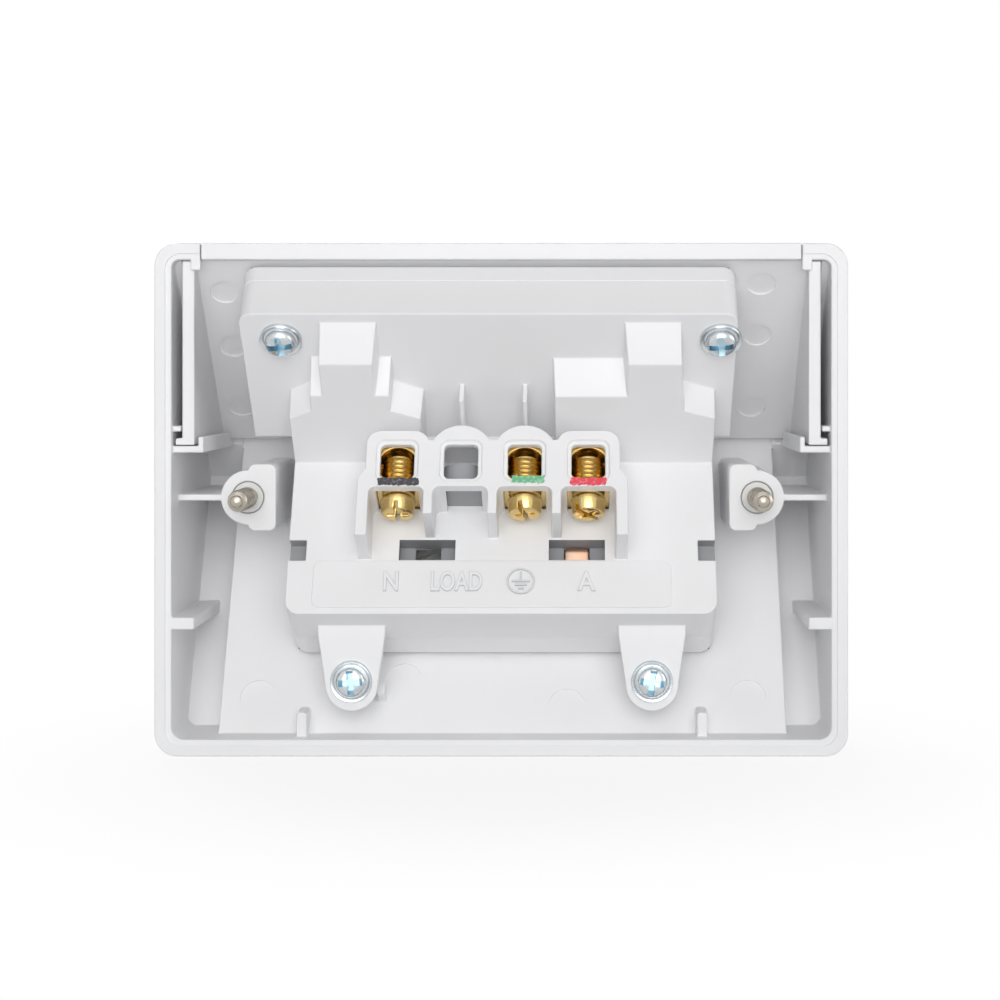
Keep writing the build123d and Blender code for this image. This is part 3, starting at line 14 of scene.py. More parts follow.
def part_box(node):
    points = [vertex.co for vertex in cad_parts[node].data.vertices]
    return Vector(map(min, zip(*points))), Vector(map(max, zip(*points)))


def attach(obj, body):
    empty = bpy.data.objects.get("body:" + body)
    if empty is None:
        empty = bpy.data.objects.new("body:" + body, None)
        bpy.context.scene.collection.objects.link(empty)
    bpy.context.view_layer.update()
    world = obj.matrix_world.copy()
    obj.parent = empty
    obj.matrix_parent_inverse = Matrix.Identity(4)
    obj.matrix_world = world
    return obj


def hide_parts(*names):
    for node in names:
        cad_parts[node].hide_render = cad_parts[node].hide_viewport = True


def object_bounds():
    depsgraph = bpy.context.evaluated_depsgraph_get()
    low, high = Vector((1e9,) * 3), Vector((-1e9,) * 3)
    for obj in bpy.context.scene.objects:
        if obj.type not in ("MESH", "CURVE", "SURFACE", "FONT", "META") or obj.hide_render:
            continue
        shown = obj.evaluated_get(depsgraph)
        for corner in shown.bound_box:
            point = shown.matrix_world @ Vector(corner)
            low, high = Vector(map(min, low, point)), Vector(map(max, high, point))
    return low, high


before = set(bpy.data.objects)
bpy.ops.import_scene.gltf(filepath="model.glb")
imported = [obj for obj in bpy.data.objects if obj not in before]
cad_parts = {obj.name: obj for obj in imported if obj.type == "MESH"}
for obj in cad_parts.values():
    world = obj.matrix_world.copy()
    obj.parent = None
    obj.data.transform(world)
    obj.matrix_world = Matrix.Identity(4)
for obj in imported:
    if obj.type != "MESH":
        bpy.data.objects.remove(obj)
CAD_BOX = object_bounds()
LOG = logging.getLogger("outlet")

Piece = bpy.types.Object
Face = bpy.types.MeshPolygon
Material = bpy.types.Material
Socket = bpy.types.NodeSocket
Pair = tuple[float, float]

MM = 0.001
ROOT_BODY = "outlet"

# Datum of the tilted panel, and the sine and cosine of its tilt
PANEL_DEPTH_MM = 6.0
PANEL_HEIGHT_MM = -38.9
TILT_SINE = 0.5
TILT_COSINE = 0.866

# Turns in degrees: the least that a mould rounds, the greatest within a rounding, a curve and a flat
EDGE_TURN = 25.0
ROUNDING_TURN = 50.0
CURVE_TURN = 20.0
FLAT_TURN = 0.5

# Mean widths in radii of a rounding: the least beside a rounded edge, the greatest of its own facets
ROOM_SHARE = 1.6
FACET_SHARE = 1.2

# Distances of points that become one: doubles in the solids, slivers beside a cut
DOUBLES_MM = 0.002
SLIVERS_MM = 0.07

# Least share of a face's normal along the direction that it faces
FACING = 0.9


class View(Enum):
    """Planes that pieces stand on, by their directions of right, up and outwards as seen from behind."""

    PANEL = ((-1.0, 0.0, 0.0), (0.0, -0.5, 0.8660), (0.0, 0.8660, 0.5))
    SLOPE = ((-1.0, 0.0, 0.0), (0.0, 0.6947, 0.7193), (0.0, 0.7193, -0.6947))
    WALL = ((-1.0, 0.0, 0.0), (0.0, 0.0, 1.0), (0.0, 1.0, 0.0))
    ALONG = ((-1.0, 0.0, 0.0), (0.0, -0.8660, -0.5), (0.0, 0.5, -0.8660))

    def at(self, place: Vector) -> Matrix:
        """Frame of the plane at a place.

        Args:
            place: Origin of the frame, in metres.

        Returns:
            Matrix that takes local coordinates to the outlet's own.
        """
        turned = Matrix(self.value).transposed().to_4x4()
        return Matrix.Translation(place) @ turned


class Side(Enum):
    """Side of the outlet as seen from its front, with the sign of X."""

    LEFT = -1
    RIGHT = 1

    @property
    def word(self) -> str:
        """Name of the side as the nodes use it."""
        return self.name.lower()


# Shader tools


def linear(hex_colour: str) -> tuple[float, float, float, float]:
    """Turn an sRGB hex colour into linear values.

    Args:
        hex_colour: Colour such as "#ECECEE".

    Returns:
        Red, green, blue and alpha, linear.
    """
    values = [int(hex_colour[place:place + 2], 16) / 255 for place in (1, 3, 5)]
    bent = [v / 12.92 if v <= 0.04045 else ((v + 0.055) / 1.055) ** 2.4 for v in values]
    return (*bent, 1.0)


@dataclass
class Shader:
    """Node tree under construction."""

    tree: bpy.types.NodeTree

    def __post_init__(self) -> None:
        """Start with an empty tree."""
        self.tree.nodes.clear()

    def node(
        self, kind: str, output: str | int, settings: dict | None = None, links: dict | None = None
    ) -> Socket:
        """Add a node with its settings and its incoming links.

        Args:
            kind: Blender's name of the node type, after "ShaderNode".
            output: Name or number of the output that is used.
            settings: Values by input name, input number or property name.
            links: Sockets that feed inputs, by input name or number.

        Returns:
            Socket of the output.
        """
        node = self.tree.nodes.new(f"ShaderNode{kind}")
        for key, value in (settings or {}).items():
            if isinstance(key, int) or key in node.inputs:
                node.inputs[key].default_value = value
            else:
                setattr(node, key, value)
        for key, socket in (links or {}).items():
            self.tree.links.new(socket, node.inputs[key])
        return node.outputs[output]

    def close(self, kind: str, surface: Socket) -> None:
        """Add the node that ends the tree.

        Args:
            kind: Material or World.
            surface: Socket of the whole shader.
        """
        end = self.tree.nodes.new(f"ShaderNodeOutput{kind}")
        self.tree.links.new(surface, end.inputs["Surface"])

    def noise(self, cell_mm: float, detail: float) -> Socket:
        """Add an uneven pattern on the object's own coordinates.

        Args:
            cell_mm: Size of one cell of the pattern.
            detail: Layers of finer noise.

        Returns:
            Strength of the pattern.
        """
        settings = {"Scale": 1 / (cell_mm * MM), "Detail": detail}
        return self.node("TexNoise", "Fac", settings, {"Vector": self.node("TexCoord", "Object")})

    def stretch(self, value: Socket, limits: dict) -> Socket:
        """Add a change of range.

        Args:
            value: Old values.
            limits: Settings of the range.

        Returns:
            New values.
        """
        return self.node("MapRange", "Result", limits, {"Value": value})

    def blend(self, share: Socket, first: str, second: str) -> Socket:
        """Add a mix of two colours.

        Args:
            share: Share of the second colour.
            first: Hex colour at nought.
            second: Hex colour at one.

        Returns:
            The mixed colour.
        """
        settings = {"data_type": "RGBA", 6: linear(first), 7: linear(second)}
        return self.node("Mix", 2, settings, {0: share})

    def relief(self, height: Socket, strength: float, depth_mm: float) -> Socket:
        """Add a fine relief.

        Args:
            height: Pattern that is raised.
            strength: Share of the relief that shows.
            depth_mm: Its full height.

        Returns:
            The tilted normals.
        """
        settings = {"Strength": strength, "Distance": depth_mm * MM}
        return self.node("Bump", "Normal", settings, {"Height": height})

    def combine(self, operation: str, first: Socket, second: Socket) -> Socket:
        """Add a step of arithmetic.

        Args:
            operation: Blender's name of it.
            first: One value.
            second: The other value.

        Returns:
            The outcome.
        """
        return self.node("Math", "Value", {"operation": operation}, {0: first, 1: second})

    def seen_directly(self) -> Socket:
        """Add the test for camera, glossy and transmission rays.

        Returns:
            Socket that is one on such a ray.
        """
        kinds = ("Camera", "Glossy", "Transmission")
        camera, glossy, passing = (self.node("LightPath", f"Is {kind} Ray") for kind in kinds)
        return self.combine("MAXIMUM", camera, self.combine("MAXIMUM", glossy, passing))


# Finishes


@dataclass(frozen=True)
class Finish(ABC):
    """Real material and how it was made."""

    name: str
    colour: str

    @abstractmethod
    def surface(self, shader: Shader) -> Socket:
        """Add the nodes of the surface.

        Args:
            shader: Tree that takes them.

        Returns:
            Socket of the whole surface.
        """

    def make(self) -> Material:
        """Build the material when it is first asked for.

        Returns:
            The finished material.
        """
        known = bpy.data.materials.get(self.name)
        if known:
            return known
        material = bpy.data.materials.new(self.name)
        material.use_nodes = True
        shader = Shader(material.node_tree)
        shader.close("Material", self.surface(shader))
        return material


@dataclass(frozen=True)
class MouldedPlastic(Finish):
    """Injection-moulded plastic or rubber: satin, with a faint cloud and a fine grain."""

    shade: str
    roughness: float
    grain_mm: float = 0.45
    grain_depth_mm: float = 0.012
    cloud_mm: float = 18.0
    ior: float = 1.54
    gloss_spread: float = 0.06
    grain_strength: float = 0.35

    def surface(self, shader: Shader) -> Socket:
        """Add a clouded colour under a fine grain; see the base class."""
        cloud = shader.noise(self.cloud_mm, detail=3.0)
        grain = shader.noise(self.grain_mm, detail=2.0)
        bright, dull = self.roughness - self.gloss_spread, self.roughness + self.gloss_spread
        links = {
            "Base Color": shader.blend(cloud, self.shade, self.colour),
            "Roughness": shader.stretch(grain, {"To Min": bright, "To Max": dull}),
            "Normal": shader.relief(grain, self.grain_strength, self.grain_depth_mm),
        }
        return shader.node("BsdfPrincipled", "BSDF", {"IOR": self.ior}, links)


@dataclass(frozen=True)
class WorkedMetal(Finish):
    """Turned, rolled or plated metal: its reflections are broken by tool lines and a little tarnish."""

    tarnish: str
    roughness: float
    line_mm: float
    line_depth_mm: float = 0.008
    patch_mm: float = 2.5
    tarnish_share: float = 0.4
    tarnish_from: float = 0.35
    tarnish_full: float = 0.75
    bright_gain: float = 0.08
    dull_gain: float = 0.12
    line_strength: float = 0.3

    def surface(self, shader: Shader) -> Socket:
        """Add patches of tarnish on lined metal; see the base class."""
        patch = shader.noise(self.patch_mm, detail=4.0)
        lines = shader.noise(self.line_mm, detail=1.0)
        bright, dull = self.roughness - self.bright_gain, self.roughness + self.dull_gain
        limits = {"From Min": self.tarnish_from, "From Max": self.tarnish_full}
        share = shader.stretch(patch, limits | {"To Max": self.tarnish_share})
        links = {
            "Base Color": shader.blend(share, self.colour, self.tarnish),
            "Roughness": shader.stretch(patch, {"To Min": bright, "To Max": dull}),
            "Normal": shader.relief(lines, self.line_strength, self.line_depth_mm),
        }
        return shader.node("BsdfPrincipled", "BSDF", {"Metallic": 1.0}, links)


@dataclass(frozen=True)
class MarkerInk(Finish):
    """Felt-pen ink on plastic: flat and a little uneven."""

    thin: str
    roughness: float = 0.55
    streak_mm: float = 0.5
    ior: float = 1.48
    thin_from: float = 0.52
    thin_full: float = 0.72

    def surface(self, shader: Shader) -> Socket:
        """Add ink with thin streaks; see the base class."""
        streak = shader.noise(self.streak_mm, detail=3.0)
        share = shader.stretch(streak, {"From Min": self.thin_from, "From Max": self.thin_full})
        settings = {"IOR": self.ior, "Roughness": self.roughness}
        links = {"Base Color": shader.blend(share, self.colour, self.thin)}
        return shader.node("BsdfPrincipled", "BSDF", settings, links)


@dataclass(frozen=True)
class PaleFloor(Finish):
    """Matt board under the outlet that fades to pure white away from it."""

    fade_from: float = 0.02
    fade_full: float = 0.1
    least_white: float = 0.85

    def surface(self, shader: Shader) -> Socket:
        """Add a matt tone that gives way to white; see the base class."""
        matt = shader.node("BsdfDiffuse", "BSDF", {"Color": linear(self.colour)})
        white = shader.node("Emission", "Emission", {"Strength": 1.0})
        place = shader.node("TexCoord", "Object")
        far = shader.node("VectorMath", "Value", {"operation": "LENGTH"}, {0: place})
        limits = {"From Min": self.fade_from, "From Max": self.fade_full, "To Min": self.least_white}
        fade = shader.stretch(far, limits | {"interpolation_type": "SMOOTHSTEP"})
        share = shader.combine("MULTIPLY", fade, shader.seen_directly())
        return shader.node("MixShader", "Shader", None, {0: share, 1: matt, 2: white})


# Satin white with soft highlights
SHELL_WHITE = MouldedPlastic("Moulded_ABS_shell_white", "#F5F5F6", "#F1F1F2", 0.42)
# Smoother white, which draws the edges of the mechanism with thin highlights
MECHANISM_WHITE = MouldedPlastic("Moulded_polycarbonate_white", "#F6F6F7", "#F2F2F3", 0.38, 0.35, 0.008)
# Glossy keys with clear reflections
ROCKER_WHITE = MouldedPlastic("Moulded_ABS_gloss_white", "#F0F0F1", "#EBEBED", 0.25, 0.5, 0.004)
# Rough, mottled walls without highlights
SHELL_ERODED = MouldedPlastic("Spark_eroded_ABS_white", "#F1F1F2", "#DCDCDE", 0.6, 0.5, 0.12)
# Milky, slightly warm rings on the wall screws
NYLON = MouldedPlastic("Moulded_nylon_natural", "#EFEFEC", "#E6E6E3", 0.5)
# Dull black lines of the seals
SEAL_RUBBER = MouldedPlastic("Moulded_EPDM_black", "#2E2E30", "#232325", 0.7, 0.3, 0.02)
# Painted shade: grey that stands for the shade deep in the windows, the side notches, the free place's
# blind pocket and on the guide sleeve's sides
RECESS_SHADE_GREY = MouldedPlastic("Painted_shade_recess_grey", "#A4A5A8", "#9A9B9E", 0.5)
# Painted shade: grey on the sides and edge roundings of the raised letters, where their edges would cast
# shade, so that the white letters read
LETTER_SIDE_SHADE = MouldedPlastic("Painted_shade_letter_sides", "#CFD0D3", "#C7C8CB", 0.5)
# Bright yellow glints over darker hollows
TURNED_BRASS = WorkedMetal("Turned_brass", "#E0C585", "#A9843F", 0.2, 0.25, tarnish_share=0.25)
# Pale pink strip with a soft sheen
ROLLED_COPPER = WorkedMetal("Rolled_copper_strip", "#E4C3AE", "#C2977C", 0.34, 0.3)
# Cool bright screw heads
ZINC_PLATE = WorkedMetal("Zinc_plated_steel", "#D3D8DB", "#8F9699", 0.24, 0.2)
# Light blue tint in the cross recesses
ZINC_BLUE = WorkedMetal("Zinc_plated_steel_blue_passivated", "#C2DBE6", "#8FB1C0", 0.3, 0.2)
# Darker, warm grey shine of the wall screws
NICKEL_PLATE = WorkedMetal("Nickel_plated_steel", "#B9B2A6", "#6E665A", 0.25, 0.2)
# Strong flat strokes that pale where the pen ran dry
INKS = {
    "black": MarkerInk("Felt_pen_ink_black", "#434146", "#8B8A8D"),
    "green": MarkerInk("Felt_pen_ink_green", "#73BE90", "#B5DDC3"),
    "red": MarkerInk("Felt_pen_ink_red", "#EE4C5E", "#F59AA2"),
}
# White ground with a hint of shadow at the outlet's foot
FLOOR_BOARD = PaleFloor("Pale_floor", "#E6E6E8")


# Places


def node_span(node: str, direction: Vector, side: Side | None = None) -> Pair:
    """Reach of a node along a direction, or of the half of it on one side.

    Args:
        node: CAD node.
        direction: Direction of the measure.
        side: Side of the half, or none for the whole node.

    Returns:
        Least and greatest reach, in metres.
    """
    places = [vertex.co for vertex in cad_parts[node].data.vertices]
    if side:
        places = [place for place in places if side.value * place.x >= 0]
    reaches = [place.dot(direction) for place in places]
    return min(reaches), max(reaches)


def node_middle(node: str, side: Side | None = None) -> Vector:
    """Middle of a node's box, or of the half of it on one side.

    Args:
        node: CAD node.
        side: Side of the half, or none for the whole node.

    Returns:
        The middle, in metres.
    """
    axes = (Vector((1, 0, 0)), Vector((0, 1, 0)), Vector((0, 0, 1)))
    return Vector([sum(node_span(node, axis, side)) / 2 for axis in axes])


def panel_place(right: float, up: float, rise: float) -> Vector:
    """Point on the tilted panel's own grid.

    Args:
        right: Millimetres to the right as seen from behind.
        up: Millimetres up the panel from its datum.
        rise: Millimetres above its inner face.

    Returns:
        The point, in metres.
    """
    depth = PANEL_DEPTH_MM + TILT_SINE * up - TILT_COSINE * rise
    height = PANEL_HEIGHT_MM + TILT_COSINE * up + TILT_SINE * rise
    return Vector((-right, -depth, height)) * MM


def on_panel(place: Vector) -> tuple[float, float, float]:
    """Place of a point on the tilted panel's own grid.

    Args:
        place: Point in metres.

    Returns:
        Millimetres to the right, up the panel and above its inner face.
    """
    depth = -place.y / MM - PANEL_DEPTH_MM
    height = place.z / MM - PANEL_HEIGHT_MM
    up = TILT_COSINE * height + TILT_SINE * depth
    return -place.x / MM, up, TILT_SINE * height - TILT_COSINE * depth


@dataclass(frozen=True)
class Zone:
    """Box on the tilted panel's own grid, by its limits in millimetres."""

    right: Pair
    up: Pair
    rise: Pair
    both_sides: bool = False

    def holds(self, place: Vector) -> bool:
        """Tell whether a point lies in the box, or in its mirror image where both sides have one.

        Args:
            place: Point in metres.

        Returns:
            True inside.
        """
        right, up, rise = on_panel(place)
        across = abs(right) if self.both_sides else right
        limits = ((across, self.right), (up, self.up), (rise, self.rise))
        return all(low < value < high for value, (low, high) in limits)


def terminal_rights() -> list[float]:
    """Measure where the four terminal places are.

    Returns:
        Distances to the right, in millimetres.
    """
    first = -node_middle("terminal_neutral").x / MM
    last = -node_middle("terminal_active").x / MM
    return [first + (last - first) * step / 3 for step in range(4)]


# Mesh tools


def pick(piece: Piece) -> None:
    """Make one piece the only selected and the active object.

    Args:
        piece: Object that the next operators work on.
    """
    bpy.ops.object.select_all(action="DESELECT")
    piece.select_set(True)
    bpy.context.view_layer.objects.active = piece


def add(name: str, operator: Callable, **settings) -> Piece:
    """Add an object by its operator.

    Args:
        name: Name of the new piece.
        operator: Operator that adds it.
        settings: Settings of the operator.

    Returns:
        The new piece.
    """
    bpy.ops.object.select_all(action="DESELECT")
    operator(**settings)
    piece = bpy.context.object
    piece.name = name
    return piece


def edit_all(piece: Piece, operator: Callable, **settings) -> None:
    """Run a mesh operator on the whole of a piece.

    Args:
        piece: Object to edit.
        operator: Operator for edit mode.
        settings: Settings of the operator.
    """
    pick(piece)
    bpy.ops.object.mode_set(mode="EDIT")
    bpy.ops.mesh.select_all(action="SELECT")
    operator(**settings)
    bpy.ops.object.mode_set(mode="OBJECT")


def merge_points(piece: Piece, reach_mm: float) -> None:
    """Merge points of a piece that lie close together.

    Args:
        piece: Object to clean.
        reach_mm: Greatest distance of points that become one.
    """
    edit_all(piece, bpy.ops.mesh.remove_doubles, threshold=reach_mm * MM)


def face_outwards(piece: Piece) -> None:
    """Turn all faces of a closed piece outwards.

    Args:
        piece: Object to correct.
    """
    edit_all(piece, bpy.ops.mesh.normals_make_consistent, inside=False)


def smooth(piece: Piece, turn: float) -> None:
    """Shade a piece smooth, but not across sharp edges.

    Args:
        piece: Object to shade.
        turn: Greatest turn that is smoothed, in degrees.
    """
    pick(piece)
    bpy.ops.object.shade_smooth_by_angle(angle=math.radians(turn))


def apply_modifier(piece: Piece, kind: str, settings: dict) -> None:
    """Add a modifier and apply it at once.

    Args:
        piece: Object that takes the modifier.
        kind: Blender's name of the modifier type.
        settings: Values of the modifier's properties.
    """
    pick(piece)
    modifier = piece.modifiers.new(kind.lower(), kind)
    for key, value in settings.items():
        setattr(modifier, key, value)
    bpy.ops.object.modifier_apply(modifier=modifier.name)


class Patches:
    """Faces of a mesh, joined into patches where they meet at less than an angle."""

    def __init__(self, mesh: bpy.types.Mesh, angle: float, lone_turn: float = 0.0) -> None:
        """Join the faces and measure the patches.

        Args:
            mesh: Mesh whose doubles have been merged.
            angle: Turn between two faces that ends a patch, in degrees.
            lone_turn: Turn that counts beside a face without area, in radians.
        """
        self.mesh = mesh
        self.beside: dict[tuple[int, int], list[int]] = {}
        for face in mesh.polygons:
            for key in face.edge_keys:
                self.beside.setdefault(key, []).append(face.index)
        self.of = self.join(math.radians(angle), lone_turn)
        self.area: dict[int, float] = {}
        self.rim: dict[int, float] = {}
        for face in mesh.polygons:
            patch = self.of[face.index]
            self.area[patch] = self.area.get(patch, 0.0) + face.area
        for (start, end), faces in self.beside.items():
            length = (mesh.vertices[start].co - mesh.vertices[end].co).length
            patches = [self.of[number] for number in faces]
            if len(set(patches)) > 1:
                for patch in patches:
                    self.rim[patch] = self.rim.get(patch, 0.0) + length

    def join(self, limit: float, lone_turn: float) -> dict[int, int]:
        """Number the patches.

        Args:
            limit: Turn that ends a patch, in radians.
            lone_turn: Turn that counts beside a face without area.

        Returns:
            Patch number by face number.
        """
        faces = self.mesh.polygons
        links: dict[int, list[int]] = {}
        for pair in self.beside.values():
            if len(pair) != 2:
                continue
            one, other = pair
            if faces[one].normal.angle(faces[other].normal, lone_turn) < limit:
                links.setdefault(one, []).append(other)
                links.setdefault(other, []).append(one)
        patch_of: dict[int, int] = {}
        for face in faces:
            waiting = [face.index]
            while waiting:
                number = waiting.pop()
                if number in patch_of:
                    continue
                patch_of[number] = face.index
                waiting.extend(links.get(number, []))
        return patch_of

    def width(self, patch: int) -> float:
        """Mean width of a patch.

        Args:
            patch: Its number.

        Returns:
            Metres, without end where the patch has no rim.
        """
        rim = self.rim.get(patch, 0.0)
        return 2 * self.area[patch] / rim if rim else math.inf

    def sharp_edges(self, room: float) -> list[int]:
        """Find the edges that a mould would leave rounded.

        Args:
            room: Least mean width of the patches on both sides of the edge, in metres.

        Returns:
            Numbers of the edges.
        """
        found = []
        for edge in self.mesh.edges:
            patches = [self.of[face] for face in self.beside.get(edge.key, [])]
            between = len(patches) == 2 and patches[0] != patches[1]
            if between and min(self.width(patch) for patch in patches) > room:
                found.append(edge.index)
        return found

    def corner_normals(self, narrow: float) -> list[Vector]:
        """Let the widest patches round each corner decide its normal, so that flats look flat.

        Args:
            narrow: Greatest mean width of a facet of a rounding, in metres.

        Returns:
            Normals of all corners of all faces, in order.
        """
        facing: dict[int, Vector] = {}
        around: dict[int, set[int]] = {}
        for face in self.mesh.polygons:
            patch = self.of[face.index]
            facing[patch] = facing.get(patch, Vector()) + face.normal * face.area
            for vertex in face.vertices:
                around.setdefault(vertex, set()).add(patch)
        for patch in facing:
            facing[patch] = facing[patch].normalized()
        thin = {patch for patch in facing if self.width(patch) < narrow}
        normals = []
        for face in self.mesh.polygons:
            own = self.of[face.index]
            for vertex in face.vertices:
                total = Vector()
                for patch in around[vertex]:
                    turn = math.degrees(facing[own].angle(facing[patch], math.pi))
                    limit = ROUNDING_TURN if own in thin or patch in thin else CURVE_TURN
                    if turn < limit:
                        total += facing[patch] * (self.area[patch] / MM ** 2) ** 2
                plain = self.mesh.vertices[vertex].normal
                normals.append(total.normalized() if total.length > 0 else plain)
        return normals


def rounded_copy(
    node: str,
    name: str,
    radius_mm: float,
    segments: int = 2,
    crisp: Sequence[Zone] = (),
    blocks: Sequence[Piece] = (),
) -> Piece:
    """Copy a solid with its edges rounded as a moulding's are.

    Args:
        node: CAD node to copy.
        name: Name of the new piece.
        radius_mm: Width of the rounding.
        segments: Facets across the rounding.
        crisp: Places where the mould leaves no room for a rounding.
        blocks: Closed blocks that are cut off before the rounding.

    Returns:
        The new piece, at the origin.
    """
    piece = bpy.data.objects.new(name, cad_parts[node].data.copy())
    bpy.context.scene.collection.objects.link(piece)
    mesh = piece.data
    mesh.materials.clear()
    merge_points(piece, DOUBLES_MM)
    if blocks:
        cut_by(piece, blocks)
        merge_points(piece, SLIVERS_MM)
    smooth(piece, EDGE_TURN)
    weights = mesh.attributes.new("bevel_weight_edge", "FLOAT", "EDGE")
    for number in Patches(mesh, EDGE_TURN).sharp_edges(ROOM_SHARE * radius_mm * MM):
        start, end = (mesh.vertices[vertex].co for vertex in mesh.edges[number].vertices)
        if not any(zone.holds((start + end) / 2) for zone in crisp):
            weights.data[number].value = 1.0
    rounding = {"limit_method": "WEIGHT", "width": radius_mm * MM, "segments": segments}
    apply_modifier(piece, "BEVEL", rounding | {"use_clamp_overlap": False, "loop_slide": False})
    smooth(piece, ROUNDING_TURN)
    patches = Patches(piece.data, FLAT_TURN, math.pi)
    piece.data.normals_split_custom_set(patches.corner_normals(FACET_SHARE * radius_mm * MM))
    return piece


def enlist(piece: Piece, body: str, finish: Finish, replaced: tuple[str, ...] = ()) -> None:
    """Give a piece its finish, its body and the nodes that it stands for.

    Args:
        piece: Finished object at the origin.
        body: CAD body that carries it.
        finish: Finish for all its faces, unless it has its own.
        replaced: CAD nodes that it replaces.
    """
    if not piece.data.materials:
        piece.data.materials.append(finish.make())
    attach(piece, body)
    if replaced:
        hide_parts(*replaced)
    LOG.info("%s: %d faces on %s", piece.name, len(piece.data.polygons), body)


def recolour(piece: Piece, finish: Finish, chosen: Callable[[Face], bool]) -> None:
    """Give some faces of a piece another finish.

    Args:
        piece: Object that has a finish already.
        finish: Finish for the chosen faces.
        chosen: Tells whether a face takes it.
    """
    piece.data.materials.append(finish.make())
    for face in piece.data.polygons:
        if chosen(face):
            face.material_index = len(piece.data.materials) - 1


def dress_nodes(nodes: tuple[str, ...], finish: Finish) -> None:
    """Give CAD nodes that stay a procedural finish.

    Args:
        nodes: CAD nodes.
        finish: Finish for all their faces.
    """
    for node in nodes:
        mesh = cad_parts[node].data
        mesh.materials.clear()
        mesh.materials.append(finish.make())
        LOG.info("%s keeps its solid", node)


def place_mesh(piece: Piece, matrix: Matrix) -> None:
    """Move a piece's mesh to its place and leave its object at the origin.

    Args:
        piece: Object to move.
        matrix: Place in the outlet's own coordinates.
    """
    piece.data.transform(matrix)
    piece.data.update()


def join_pieces(pieces: list[Piece], name: str) -> Piece:
    """Join pieces into one object.

    Args:
        pieces: Objects at the origin.
        name: Name of the joined piece.

    Returns:
        The joined piece.
    """
    pick(pieces[0])
    for piece in pieces[1:]:
        piece.select_set(True)
    bpy.ops.object.join()
    pieces[0].name = name
    return pieces[0]


def outline_ring(name: str, outline: list[Pair]) -> Piece:
    """Make a closed outline in the plane of X and Z.

    Args:
        name: Name of the piece.
        outline: Radius and height of each corner in millimetres.

    Returns:
        The outline, edges alone.
    """
    piece = add(
        name, bpy.ops.mesh.primitive_circle_add, vertices=len(outline), radius=MM, fill_type="NOTHING"
    )
    for vertex, (radius, height) in zip(piece.data.vertices, outline):
        vertex.co = (radius * MM, 0.0, height * MM)
    return piece


def lathe(name: str, outline: list[Pair], steps: int = 48) -> Piece:
    """Turn an outline about Z, as on a lathe.

    Args:
        name: Name of the piece.
        outline: Radius and height of each corner in millimetres, from axis to axis.
        steps: Facets round the turn.

    Returns:
        The turned piece, closed, about the origin.
    """
    piece = outline_ring(name, outline)
    edit_all(piece, bpy.ops.mesh.spin, steps=steps, angle=2 * math.pi, center=(0, 0, 0), axis=(0, 0, 1))
    merge_points(piece, reach_mm=0.001)
    edit_all(piece, bpy.ops.mesh.delete_loose, use_verts=True, use_edges=True, use_faces=False)
    face_outwards(piece)
    smooth(piece, turn=35.0)
    return piece


def cut_by(piece: Piece, cutters: Sequence[Piece], finish: Finish | None = None) -> None:
    """Cut blocks out of a piece and delete the blocks.

    Args:
        piece: Piece that is cut.
        cutters: Closed blocks.
        finish: Finish for the cut faces, if they have one of their own.
    """
    settings = {"operation": "DIFFERENCE", "solver": "EXACT"}
    if finish:
        settings["material_mode"] = "TRANSFER"
    for cutter in cutters:
        if finish:
            cutter.data.materials.append(finish.make())
        apply_modifier(piece, "BOOLEAN", settings | {"object": cutter})
        bpy.data.objects.remove(cutter, do_unlink=True)


@dataclass(frozen=True)
class Recess:
    """Drive recess of a screw head: tapered arms, each a quarter turn from the one before."""

    lengths_mm: tuple[float, ...]
    width_mm: float
    depth_mm: float
    length_left: float
    width_left: float = 0.75
    overshoot_mm: float = 0.5

    def cut(self, piece: Piece, place: Matrix, finish: Finish | None = None) -> None:
        """Cut the recess into a screw.

        Args:
            piece: Screw about Z.
            place: Middle of the head's face, with Z out of the head.
            finish: Finish for the cut faces, if they have one of their own.
        """
        arms = []
        for number, length in enumerate(self.lengths_mm):
            arm = add("recess_arm", bpy.ops.mesh.primitive_cube_add, size=1.0)
            for vertex in arm.data.vertices:
                low = vertex.co.z < 0
                vertex.co.x *= length * (self.length_left if low else 1.0) * MM
                vertex.co.y *= self.width_mm * (self.width_left if low else 1.0) * MM
                vertex.co.z = (-self.depth_mm if low else self.overshoot_mm) * MM
            if number % 2:
                arm.data.transform(Matrix.Rotation(math.radians(90), 4, "Z"))
            arm.data.transform(place)
            arms.append(arm)
        cut_by(piece, arms, finish)


@dataclass(frozen=True)
class Thread:
    """Screw thread: a wound ridge that stands on a shank."""

    root_mm: float
    crest_mm: float
    pitch_mm: float
    sunk_mm: float = 0.1
    root_gap: float = 0.04
    steps: int = 28

    def make(self, name: str, low_mm: float, high_mm: float) -> Piece:
        """Make the ridge about Z.

        Args:
            name: Name of the piece.
            low_mm: Lower end.
            high_mm: Upper end.

        Returns:
            The ridge, closed.
        """
        pitch = self.pitch_mm
        corners = [
            (self.root_mm - self.sunk_mm, low_mm),
            (self.root_mm, low_mm + self.root_gap * pitch),
            (self.crest_mm, low_mm + 0.5 * pitch),
            (self.root_mm, low_mm + (1 - self.root_gap) * pitch),
        ]
        piece = outline_ring(name, corners)
        settings = {
            "angle": 2 * math.pi,
            "screw_offset": pitch * MM,
            "iterations": int((high_mm - low_mm) / pitch) - 1,
            "steps": self.steps,
            "render_steps": self.steps,
            "axis": "Z",
            "use_smooth_shade": False,
        }
        apply_modifier(piece, "SCREW", settings)
        bpy.ops.object.mode_set(mode="EDIT")
        bpy.ops.mesh.select_all(action="DESELECT")
        bpy.ops.mesh.select_non_manifold()
        bpy.ops.mesh.edge_face_add()
        bpy.ops.object.mode_set(mode="OBJECT")
        face_outwards(piece)
        smooth(piece, turn=30.0)
        return piece


# Sub-assemblies


